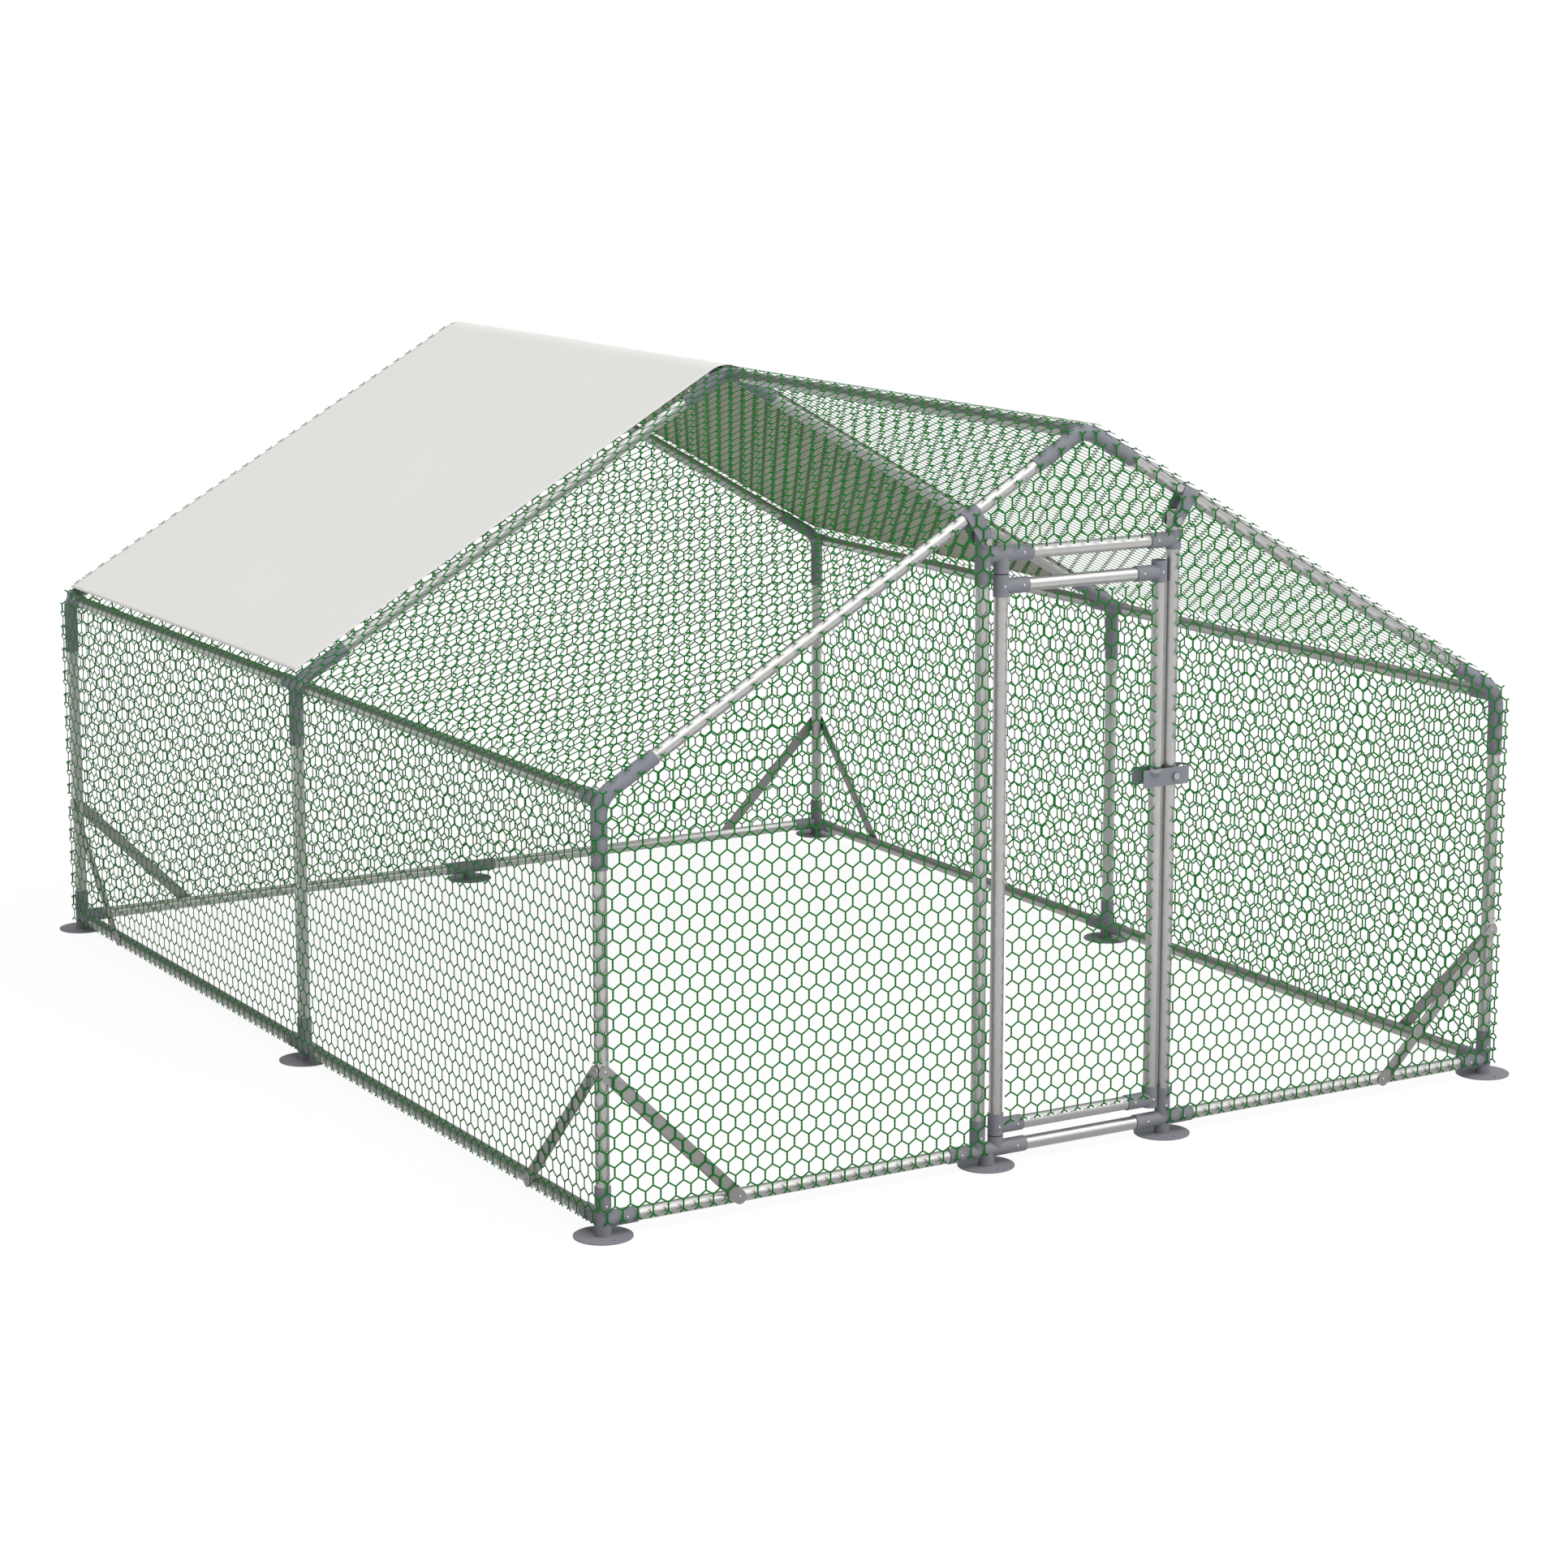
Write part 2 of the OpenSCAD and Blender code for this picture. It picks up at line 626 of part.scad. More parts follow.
module brace_bolt_places() { for (x = [0, brace_l]) translate([x, 0, 0]) children(); }
module brace_oval(trim, from, length) {
    width = brace_w - 2 * trim;
    thick = brace_mid_t - 2 * trim;
    translate([from, 0, brace_mid_z]) rotate([0, 90, 0]) linear_extrude(height = length) {
        square([thick, width - thick], center = true);
        for (side = [-1, 1]) translate([0, side * (width - thick) / 2]) circle(d = thick, $fn = 16);
    }
}
module brace_end() {
    cylinder(d = brace_w, h = brace_end_t, $fn = 36);
    translate([0, -brace_w / 2, 0]) cube([brace_flat, brace_w, brace_end_t]);
    hull() {
        translate([brace_flat - lap, lap_step - brace_w / 2, lap_step])
            cube([lap, brace_w - 2 * lap_step, brace_end_t - 2 * lap_step]);
        brace_oval(lap_step, brace_tube_from, lap);
    }
}
module brace() {
    difference() {
        union() {
            brace_end();
            translate([brace_l, 0, 0]) rotate([0, 0, 180]) brace_end();
            brace_oval(0, brace_tube_from, brace_l - 2 * brace_tube_from);
        }
        brace_oval(brace_wall, brace_tube_from + brace_wall, brace_l - 2 * brace_tube_from - 2 * brace_wall);
        brace_bolt_places() translate([0, 0, -over])
            cylinder(d = screw_d + 2 * screw_fit, h = brace_end_t + 2 * over, $fn = 16);
    }
}

// Puts a brace on a wall: its post's foot is at the corner, and facing is the wall's outward turn.
// The brace runs down and to one hand, seen from outside.
module on_wall(place, facing, hand) {
    at_corner(place) translate([0, 0, rail_h]) rotate([0, 0, facing]) rotate([90, 0, 0])
        translate([0, brace_reach, brace_face]) rotate([0, 0, hand > 0 ? -45 : -135]) children();
}

// Outward turns and hands of the two braces at a corner
function brace_walls(place) = [[place[1] < 0 ? 0 : 180, -place[0] * (place[1] < 0 ? 1 : -1)],
                               [place[0] < 0 ? -90 : 90, place[1] * (place[0] < 0 ? 1 : -1)]];
module corner_braces(place) {
    color(coated) for (wall = brace_walls(place)) on_wall(place, wall[0], wall[1]) brace();
}
module front_left_braces() { corner_braces(corner_places[0]); }
module front_right_braces() { corner_braces(corner_places[1]); }
module rear_right_braces() { corner_braces(corner_places[2]); }
module rear_left_braces() { corner_braces(corner_places[3]); }

// A low domed bolt that ends just short of the tube under the brace
module brace_bolt() {
    translate([0, 0, brace_end_t]) domed_head(screw_head_d, brace_head_h);
    translate([0, 0, -brace_gap + tip_gap]) cylinder(d = screw_d, h = brace_gap + brace_end_t);
}
module brace_bolts() {
    color(bright) for (place = corner_places, wall = brace_walls(place))
        on_wall(place, wall[0], wall[1]) brace_bolt_places() brace_bolt();
}

// Netting. A net is a sheet with an edge wire and six-sided meshes that have upright sides. The
// meshes are stretched a little so that whole and half meshes fill the width.

function mesh(pitch, row) = (pitch - net_wire) / pitch * [
    [0, row * 2 / 3], [pitch / 2, row / 3], [pitch / 2, -row / 3],
    [0, -row * 2 / 3], [-pitch / 2, -row / 3], [-pitch / 2, row / 3]];
module meshes(width, height, cell) {
    columns = round(width / cell);
    rows = max(1, round(height / (cell * sqrt(3) / 2)));
    pitch = width / columns;
    row = height / rows;
    for (j = [-1 : rows], i = [0 : columns])
        translate([(i + (j % 2 == 0 ? 0.5 : 0)) * pitch, (j + 0.5) * row]) polygon(mesh(pitch, row));
}

// The first child is the outline of a net, the second the same outline inside its edge wire
module net(width, height, cell) {
    linear_extrude(height = net_t)
        difference() {
            children(0);
            intersection() {
                children(1);
                meshes(width, height, cell);
            }
        }
}
module field(width, height, edge) {
    translate([edge, edge]) square([width - 2 * edge, height - 2 * edge]);
}

// One strand bent around the crossing of two walls, as a sector of a ring in the XY plane. Its first end
// laps into the flat net that it belongs to.
module ring_sector(from, to, inner, outer) {
    reach = 2 * outer;
    rotate(from) translate([inner + lap_step, -lap]) square([outer - inner - 2 * lap_step, 2 * lap]);
    intersection() {
        difference() {
            circle(r = outer);
            circle(r = inner);
        }
        polygon([[0, 0], reach * [cos(from), sin(from)],
            reach * [cos((from + to) / 2), sin((from + to) / 2)], reach * [cos(to), sin(to)]]);
    }
}

// Strands that carry a net round the eave or the ridge, one at every mesh of a side
net_l = 2 * bay_l + net_edge;
bend_strands = round(net_l / net_cell);
module bent_strands(from, to) {
    for (i = [0 : bend_strands])
        translate([0, -net_l / 2 + net_wire / 2 + i * (net_l - net_wire) / bend_strands, 0]) rotate([90, 0, 0])
            linear_extrude(height = net_wire, center = true) ring_sector(from, to, bend_r + net_in, bend_r + net_out);
}

// The left half of the sides and of the roof. The right half is its mirror image.
wall_top = eave_h - bend_tangent(eave_turn);
wall_bottom = rail_h - net_edge / 2;
module half_wall_net() {
    height = wall_top - wall_bottom;
    translate([-half_w - net_in, net_l / 2, wall_bottom]) rotate([90, 0, -90])
        net(net_l, height, net_cell) {
            field(net_l, height, 0);
            field(net_l, height, net_edge);
        }
    translate([-half_w + bend_r, 0, wall_top]) bent_strands(180, 90 + roof_slope);
}
roof_low = bend_tangent(eave_turn);
roof_high = rafter_l - bend_tangent(ridge_turn);
module half_roof_net() {
    height = roof_high - roof_low - net_gap;
    translate([-half_w, -net_l / 2, eave_h]) rotate([0, -roof_slope, 0])
        translate([roof_high, 0, net_in]) rotate([0, 0, 90])
            net(net_l, height, net_cell) {
                field(net_l, height, 0);
                field(net_l, height, net_edge);
            }
    translate([0, 0, ridge_h - bend_r / cos(roof_slope)])
        intersection() {
            bent_strands(90 + roof_slope, 90);
            translate([-half_w - net_gap / 2, -net_l, 0]) cube([half_w, 2 * net_l, ridge_h]);
        }
}
module left_wall_net() { color(netting) half_wall_net(); }
module right_wall_net() { color(netting) mirror([1, 0, 0]) half_wall_net(); }
module left_roof_net() { color(netting) half_roof_net(); }
module right_roof_net() { color(netting) mirror([1, 0, 0]) half_roof_net(); }

// Puts a flat net on the outside of the front, drawn in X and Z
module on_front() { translate([0, -bay_l - net_in, 0]) rotate([90, 0, 0]) children(); }

// Area under the rafters between two places across the front and above a height
module gable(from, to, bottom, edge) {
    slant = net_edge / 2 - edge / cos(roof_slope);
    peak = from * to < 0 ? [[0, ridge_rail_h + slant]] : [];
    polygon(concat([[from + edge, bottom + edge]], [[to - edge, bottom + edge]],
        [[to - edge, rafter_h(to - edge) + slant]], peak, [[from + edge, rafter_h(from + edge) + slant]]));
}

// Holes in the front's netting for the latch and for the heads of the strap bolts
module clearings(edge) {
    translate([latch_post_x, latch_h]) circle(r = latch_room + edge);
    for (x = [hinge_post_x, latch_post_x]) translate([x, strap_bolt_h(x)]) circle(r = bolt_room + edge);
}
module gable_net(from, to, bottom, top, cell, cleared) {
    translate([from, bottom, 0]) net(to - from, top - bottom, cell) {
        translate([-from, -bottom]) difference() {
            gable(from, to, bottom, 0);
            if (cleared) clearings(0);
        }
        translate([-from, -bottom]) difference() {
            gable(from, to, bottom, net_edge);
            if (cleared) clearings(net_edge);
        }
    }
}
net_half_w = half_w + net_edge / 2;
module front_left_net() {
    right = hinge_post_x + net_edge / 2;
    color(netting) on_front() gable_net(-net_half_w, right, wall_bottom, rafter_h(right), net_cell, true);
}
module front_right_net() {
    left = latch_post_x - net_edge / 2;
    color(netting) on_front() gable_net(left, net_half_w, wall_bottom, rafter_h(left), net_cell, true);
}
module over_door_net() {
    left = hinge_post_x + net_edge / 2 + net_gap;
    right = latch_post_x - net_edge / 2 - net_gap;
    color(netting) on_front()
        gable_net(left, right, header_h - net_edge / 2, ridge_rail_h, door_cell, true);
}
module rear_net() {
    color(netting) translate([0, bay_l + net_in, 0]) rotate([90, 0, 180])
        gable_net(-net_half_w, net_half_w, wall_bottom, ridge_rail_h, net_cell, false);
}
module door_net() {
    width = latch_x - hinge_x + net_edge;
    height = door_high_h - door_low_h + net_edge;
    color(netting) on_front() translate([hinge_x - net_edge / 2, door_low_h - net_edge / 2, 0])
        net(width, height, door_cell) {
            field(width, height, 0);
            field(width, height, net_edge);
        }
}

// Rain cover

module rain_cover() {
    slope_l = rafter_l - cover_rise - bend_tangent(ridge_turn) + lap;
    length = bay_l + cover_rear + cover_front;
    color("whitesmoke") translate([0, bay_l + cover_rear, 0]) rotate([90, 0, 0]) {
        for (side = [-1, 1]) translate([side * half_w, eave_h, 0]) rotate([0, side < 0 ? 0 : 180, 0])
            rotate([0, 0, roof_slope]) translate([cover_rise, cover_in, side < 0 ? 0 : -length])
                cube([slope_l, cover_t, length]);
        translate([0, ridge_h - bend_r / cos(roof_slope), 0]) linear_extrude(height = length)
            ring_sector(90 - roof_slope, 90 + roof_slope, bend_r + cover_in - lap_step,
                bend_r + cover_in + cover_t + lap_step);
    }
}

// Screws of the frame

module foot_screws() {
    color(bright) {
        for (place = corner_places) at_corner(place)
            rotate([0, 0, place[2]]) foot_screw_places(corner_arms, corner_leg_screws) screw();
        for (side = [-1, 1]) translate([side * half_w, 0, 0])
            rotate([0, 0, side < 0 ? 0 : 180]) foot_screw_places(mid_arms, mid_leg_screws) screw();
        translate([0, bay_l, 0]) foot_screw_places(rear_arms, []) screw();
        translate([latch_post_x, -bay_l, 0]) foot_screw_places(latch_arms, latch_leg_screws) screw();
        hinge_foot_screw_places() screw();
    }
}
module upper_screws() {
    color(bright) {
        for (side = [-1, 1]) {
            for (end = [-1, 1]) at_eave(side, end * bay_l) elbow_screw_places(eave_turn, [end]) screw();
            at_eave(side, 0) elbow_screw_places(eave_turn, [-1, 1]) screw();
        }
        for (end = [-1, 1]) at_ridge(end * bay_l) elbow_screw_places(ridge_turn, [end]) screw();
        at_ridge(0) elbow_screw_places(ridge_turn, [-1, 1]) screw();
        header_hinge_screw_places() screw();
        header_latch_screw_places() screw();
    }
}

// Door

module door_hinge_stile() {
    color(galvanised) translate([hinge_x, -bay_l, 0])
        tube(low_tee_bottom + bush_l + end_gap, high_tee_top - bush_l - end_gap);
}
module door_latch_stile() {
    color(galvanised) translate([latch_x, -bay_l, 0])
        tube(low_tee_bottom + stile_inset, high_tee_top - stile_inset);
}
module door_rails() {
    color(galvanised) for (h = [door_low_h, door_high_h])
        translate([0, -bay_l, h]) tube_x(hinge_x + tube_start, latch_x - tube_start);
}

// Screws of one tee, whose rail runs towards a direction at the tee's own height
module tee_screw_places(direction) {
    on_sleeve([0, 0, 0], 0, -90) children();
    on_sleeve(direction, arm_screw, -90) children();
}
module tee_body(bottom, direction) {
    translate([0, 0, bottom]) cylinder(r = sleeve_r, h = tee_h);
    rotate(direction) cylinder(r = sleeve_r, h = tee_arm);
}
module rail_socket(direction) { rotate(direction) translate([0, 0, socket_floor]) cylinder(r = bore_r, h = tee_arm); }

// Bush of a hinge tee and the socket for the stile, seen from the bush's end along +Z
module hinge_bores() {
    translate([0, 0, -over]) cylinder(d = pin_d + 2 * pin_fit, h = pin_depth + over);
    translate([0, 0, bush_l]) cylinder(r = bore_r, h = tee_h);
}
module door_hinge_tees() {
    color(coated) for (top = [false, true])
        translate([hinge_x, -bay_l, top ? door_high_h : door_low_h]) {
            bottom = top ? -high_tee_drop : -low_tee_drop;
            difference() {
                tee_body(bottom, to_right);
                rail_socket(to_right);
                translate([0, 0, top ? bottom + tee_h : bottom]) rotate([top ? 180 : 0, 0, 0]) hinge_bores();
                tee_screw_places(to_right) screw_hole();
            }
        }
}
module door_latch_tees() {
    color(coated) for (top = [false, true])
        translate([latch_x, -bay_l, top ? door_high_h : door_low_h]) {
            bottom = top ? -high_tee_drop : -low_tee_drop;
            difference() {
                tee_body(bottom, to_left);
                rail_socket(to_left);
                translate([0, 0, bottom - over]) cylinder(r = bore_r, h = tee_h + 2 * over);
                tee_screw_places(to_left) screw_hole();
            }
        }
}
module door_screws() {
    color(bright) for (h = [door_low_h, door_high_h]) {
        translate([hinge_x, -bay_l, h]) tee_screw_places(to_right) screw();
        translate([latch_x, -bay_l, h]) tee_screw_places(to_left) screw();
    }
}

// Latch fork: a strap bent round the latch post, with a leg on each side of the door's stile. The
// bend is cut away below its top rim, so that the fork turns up until the rim meets the post.

module fork_outline(r) {
    translate([-fork_reach, -r]) square([fork_reach + fork_tail, 2 * r]);
    translate([fork_tail, 0]) circle(r = r);
}
// The thumb press is a dome under a face that slopes down from the fork's top edge. The inset is the
// wall that is left around the hollow behind it.
module thumb_press(face, inset) {
    ball = (thumb_w * thumb_w / 4 + thumb_out * thumb_out) / (2 * thumb_out);
    depth = fork_t / 2 + inset;
    intersection() {
        translate([-thumb_x, face - thumb_out + ball, fork_h / 2]) sphere(r = ball - inset);
        translate([-thumb_x - ball, face, fork_h / 2 - inset * sqrt(2)]) rotate([90, 0, 90])
            linear_extrude(height = 2 * ball)
                polygon([[0, 0], [-thumb_out, -thumb_out], [-thumb_out, -fork_h], [depth, -fork_h], [depth, 0]]);
    }
}
module latch_fork() {
    face = fork_mid_y - fork_bend_r - fork_t;
    rim = tube_r + fork_stop_gap;
    color(coated) translate([latch_post_x, -bay_l, latch_h])
        difference() {
            union() {
                translate([0, fork_mid_y, -fork_h / 2]) linear_extrude(height = fork_h)
                    difference() {
                        fork_outline(fork_bend_r + fork_t);
                        fork_outline(fork_bend_r);
                        translate([-fork_reach - over, -fork_bend_r]) square([2 * over, 2 * fork_bend_r]);
                    }
                thumb_press(face, 0);
            }
            thumb_press(face, fork_t);
            translate([fork_tail, -rim, -fork_h]) cube([2 * fork_bend_r, 2 * rim, fork_h + rim]);
            rotate(to_rear) cylinder(d = bolt_d + 2 * pivot_fit, h = run_w, center = true);
        }
}

post_front_left();
post_front_right();
post_mid_left();
post_mid_right();
post_rear_left();
post_rear_right();
hinge_post();
latch_post();
left_sills();
right_sills();
rear_sills();
front_left_sill();
door_sill();
front_right_sill();
left_eave_rails();
right_eave_rails();
ridge_rails();
front_rafters();
mid_rafters();
rear_rafters();
door_header();
corner_feet();
mid_feet();
rear_foot();
hinge_foot();
latch_foot();
eave_corners();
eave_mids();
ridge_ends();
ridge_mid();
header_hinge_tee();
header_latch_tee();
hinge_side_strap();
latch_side_strap();
front_left_braces();
front_right_braces();
rear_left_braces();
rear_right_braces();
left_wall_net();
right_wall_net();
left_roof_net();
right_roof_net();
front_left_net();
front_right_net();
over_door_net();
rear_net();
rain_cover();
foot_screws();
upper_screws();
brace_bolts();
through_bolts();
door_hinge_stile();
door_latch_stile();
door_rails();
door_hinge_tees();
door_latch_tees();
door_net();
door_screws();
latch_fork();
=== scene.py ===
import json
import math
import bpy
import numpy as np
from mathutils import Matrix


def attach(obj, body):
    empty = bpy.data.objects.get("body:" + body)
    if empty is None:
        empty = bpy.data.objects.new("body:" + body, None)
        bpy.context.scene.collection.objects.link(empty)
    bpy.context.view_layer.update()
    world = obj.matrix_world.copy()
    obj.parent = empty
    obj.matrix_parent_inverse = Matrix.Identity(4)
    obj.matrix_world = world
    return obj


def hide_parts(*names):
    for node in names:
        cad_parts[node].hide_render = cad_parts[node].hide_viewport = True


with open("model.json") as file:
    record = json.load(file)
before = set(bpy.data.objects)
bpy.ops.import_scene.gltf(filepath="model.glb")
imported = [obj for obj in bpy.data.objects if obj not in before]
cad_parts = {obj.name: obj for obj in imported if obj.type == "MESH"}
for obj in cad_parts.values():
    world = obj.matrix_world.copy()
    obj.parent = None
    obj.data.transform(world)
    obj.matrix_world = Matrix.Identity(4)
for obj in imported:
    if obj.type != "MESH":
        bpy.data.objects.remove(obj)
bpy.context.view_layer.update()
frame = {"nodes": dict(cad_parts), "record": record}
recordSlots = {part["node"]: part["material_slot"] for part in frame["record"]["subparts"]}
print("frame loaded:", len(frame["nodes"]), "nodes")

# the run's own lines, in metres, as the solids have them
run = {
    "halfWidth": 1.500,      # to the side posts' centre lines
    "halfLength": 1.953,     # to the gables' centre lines
    "eaveHeight": 1.171,     # where the lines of posts and rafters cross
    "slope": math.radians(30.0),
    "bendRadius": 0.075,     # of the elbows' centre lines
    "latchPost": 0.3045,
    "latchHeight": 1.048,
    "railHeight": 0.045,
    "netPlane": 0.0268,      # from the tubes' centre lines out to the netting
}
cosSlope, sinSlope, tanSlope = math.cos(run["slope"]), math.sin(run["slope"]), math.tan(run["slope"])
rafterLength = run["halfWidth"] / cosSlope
ridgeHeight = run["eaveHeight"] + run["halfWidth"] * tanSlope
bendTangent = run["bendRadius"] * tanSlope

# camera at the photograph's angle
viewpoint = {
    "place": (-5.8321, -10.2365, 3.1389),
    "turn": (90.0 - 11.159, 0.025, -30.625),
    "lens": 85.56,
    "sensor": 36.0,
    "shift": (-0.0041, -0.0216),
    "far": 200.0,
}
cameraData = bpy.data.cameras.new("viewpoint")
cameraData.sensor_width = viewpoint["sensor"]
cameraData.sensor_fit = "HORIZONTAL"
cameraData.lens = viewpoint["lens"]
cameraData.shift_x, cameraData.shift_y = viewpoint["shift"]
cameraData.clip_end = viewpoint["far"]
camera = bpy.data.objects.new("viewpoint", cameraData)
camera.location = viewpoint["place"]
camera.rotation_euler = [math.radians(angle) for angle in viewpoint["turn"]]
bpy.context.collection.objects.link(camera)
bpy.context.scene.camera = camera
bpy.context.scene.view_settings.view_transform = "Standard"


def newMesh(name, points, quads):
    # a smooth mesh from whole arrays: points (n, 3) and quads (m, 4)
    mesh = bpy.data.meshes.new(name)
    mesh.vertices.add(len(points))
    mesh.vertices.foreach_set("co", np.ascontiguousarray(points, np.float32).ravel())
    mesh.loops.add(quads.size)
    mesh.loops.foreach_set("vertex_index", np.ascontiguousarray(quads, np.int32).ravel())
    mesh.polygons.add(len(quads))
    mesh.polygons.foreach_set("loop_start", np.arange(len(quads), dtype=np.int32) * 4)
    mesh.update(calc_edges=True)
    mesh.polygons.foreach_set("use_smooth", np.ones(len(quads), bool))
    piece = bpy.data.objects.new(name, mesh)
    bpy.context.collection.objects.link(piece)
    return piece


# node groups for the finishes: each takes a place and some values
def addGroup(name, values, outputs):
    group = bpy.data.node_groups.new(name, "ShaderNodeTree")
    group.interface.new_socket("Vector", in_out="INPUT", socket_type="NodeSocketVector")
    for label in values:
        group.interface.new_socket(label, in_out="INPUT", socket_type="NodeSocketFloat")
    for label in outputs:
        group.interface.new_socket(label, in_out="OUTPUT", socket_type="NodeSocketFloat")
    return group, group.nodes.new("NodeGroupInput"), group.nodes.new("NodeGroupOutput")


def addNode(tree, kind, settings=None, **sockets):
    # sockets are named with an underscore for a space
    node = tree.nodes.new(kind)
    for key, value in (settings or {}).items():
        setattr(node, key, value)
    for key, value in sockets.items():
        node.inputs[key.replace("_", " ")].default_value = value
    return node


def makeSpangle():
    # zinc crystals: flat cells of slightly different brightness with a soft cloud over them
    cloudShare = 0.45
    group, enter, leave = addGroup(
        "zincSpangle", ("Scale", "Depth", "Smooth", "Coarse"), ("Tone", "Rough", "Height"))
    link = group.links.new
    cells = addNode(group, "ShaderNodeTexVoronoi", {"feature": "F1", "distance": "CHEBYCHEV"})
    link(enter.outputs["Vector"], cells.inputs["Vector"])
    link(enter.outputs["Scale"], cells.inputs["Scale"])
    grey = addNode(group, "ShaderNodeRGBToBW")
    link(cells.outputs["Color"], grey.inputs[0])
    cloud = addNode(group, "ShaderNodeTexNoise", Scale=7.0, Detail=4.0, Roughness=0.6)
    link(enter.outputs["Vector"], cloud.inputs["Vector"])
    blend = addNode(group, "ShaderNodeMix", {"data_type": "FLOAT"})
    blend.inputs[0].default_value = cloudShare
    link(grey.outputs[0], blend.inputs[2])
    link(cloud.outputs["Fac"], blend.inputs[3])
    tone = addNode(group, "ShaderNodeMath", {"operation": "MULTIPLY"})
    link(blend.outputs[0], tone.inputs[0])
    link(enter.outputs["Depth"], tone.inputs[1])
    link(tone.outputs[0], leave.inputs["Tone"])
    rough = addNode(group, "ShaderNodeMapRange")
    link(blend.outputs[0], rough.inputs["Value"])
    link(enter.outputs["Smooth"], rough.inputs["To Min"])
    link(enter.outputs["Coarse"], rough.inputs["To Max"])
    link(rough.outputs[0], leave.inputs["Rough"])
    link(cloud.outputs["Fac"], leave.inputs["Height"])
    return group


def makeGrain():
    # a sprayed coat: fine grains for the bump and a broad cloud for colour and roughness
    group, enter, leave = addGroup(
        "coatGrain", ("Grain Scale", "Cloud Scale"), ("Cloud", "Height", "Rough"))
    link = group.links.new
    grain = addNode(group, "ShaderNodeTexNoise", Detail=2.0)
    link(enter.outputs["Vector"], grain.inputs["Vector"])
    link(enter.outputs["Grain Scale"], grain.inputs["Scale"])
    cloud = addNode(group, "ShaderNodeTexNoise", Detail=5.0, Roughness=0.62)
    link(enter.outputs["Vector"], cloud.inputs["Vector"])
    link(enter.outputs["Cloud Scale"], cloud.inputs["Scale"])
    rough = addNode(group, "ShaderNodeMapRange", To_Min=0.42, To_Max=0.62)
    link(cloud.outputs["Fac"], rough.inputs["Value"])
    link(cloud.outputs["Fac"], leave.inputs["Cloud"])
    link(grain.outputs["Fac"], leave.inputs["Height"])
    link(rough.outputs[0], leave.inputs["Rough"])
    return group


def makeDust():
    # dust that gathers near the ground, broken up by noise
    group, enter, leave = addGroup("groundDust", ("Top", "Amount"), ("Mask",))
    link = group.links.new
    split = addNode(group, "ShaderNodeSeparateXYZ")
    link(enter.outputs["Vector"], split.inputs[0])
    fall = addNode(group, "ShaderNodeMapRange", To_Min=1.0, To_Max=0.0)
    link(split.outputs["Z"], fall.inputs["Value"])
    link(enter.outputs["Top"], fall.inputs["From Max"])
    noise = addNode(group, "ShaderNodeTexNoise", Scale=18.0, Detail=6.0)
    link(enter.outputs["Vector"], noise.inputs["Vector"])
    broken = addNode(group, "ShaderNodeMath", {"operation": "MULTIPLY"})
    link(fall.outputs[0], broken.inputs[0])
    link(noise.outputs["Fac"], broken.inputs[1])
    scaled = addNode(group, "ShaderNodeMath", {"operation": "MULTIPLY"})
    link(broken.outputs[0], scaled.inputs[0])
    link(enter.outputs["Amount"], scaled.inputs[1])
    link(scaled.outputs[0], leave.inputs["Mask"])
    return group


spangle, coatGrain, groundDust = makeSpangle(), makeGrain(), makeDust()
dustLook = {"colour": (0.34, 0.31, 0.26), "top": 0.2}


def startMaterial(name, metallic, specular):
    material = bpy.data.materials.new(name)
    material.use_nodes = True
    tree = material.node_tree
    shader = tree.nodes["Principled BSDF"]
    shader.inputs["Metallic"].default_value = metallic
    shader.inputs["Specular IOR Level"].default_value = specular
    return material, tree, shader, tree.nodes.new("ShaderNodeTexCoord")


def addPlaced(tree, group, place, **values):
    node = addNode(tree, "ShaderNodeGroup", {"node_tree": group}, **values)
    tree.links.new(place.outputs["Object"], node.inputs["Vector"])
    return node


def mixColours(tree, factor, first, second):
    # first and second are a colour or the socket that gives one
    node = addNode(tree, "ShaderNodeMix", {"data_type": "RGBA"})
    tree.links.new(factor, node.inputs[0])
    for socket, value in ((node.inputs[6], first), (node.inputs[7], second)):
        if isinstance(value, tuple):
            socket.default_value = (*value, 1.0)
        else:
            tree.links.new(value, socket)
    return node.outputs[2]


def addDust(tree, place, colour, amount):
    dust = addPlaced(tree, groundDust, place, Top=dustLook["top"], Amount=amount)
    return mixColours(tree, dust.outputs["Mask"], colour, dustLook["colour"])


def addBump(tree, shader, height, bump):
    strength, distance = bump
    node = addNode(tree, "ShaderNodeBump", Strength=strength, Distance=distance)
    tree.links.new(height, node.inputs["Height"])
    tree.links.new(node.outputs["Normal"], shader.inputs["Normal"])


def makeGalvanised(name, finish):
    material, tree, shader, place = startMaterial(name, finish["metallic"], finish["specular"])
    smooth, coarse = finish["rough"]
    zinc = addPlaced(
        tree, spangle, place, Scale=finish["spangle"], Depth=finish["depth"], Smooth=smooth, Coarse=coarse)
    colour = mixColours(tree, zinc.outputs["Tone"], finish["bright"], finish["dull"])
    colour = addDust(tree, place, colour, finish["dust"])
    tree.links.new(colour, shader.inputs["Base Color"])
    tree.links.new(zinc.outputs["Rough"], shader.inputs["Roughness"])
    addBump(tree, shader, zinc.outputs["Height"], finish["bump"])
    return material


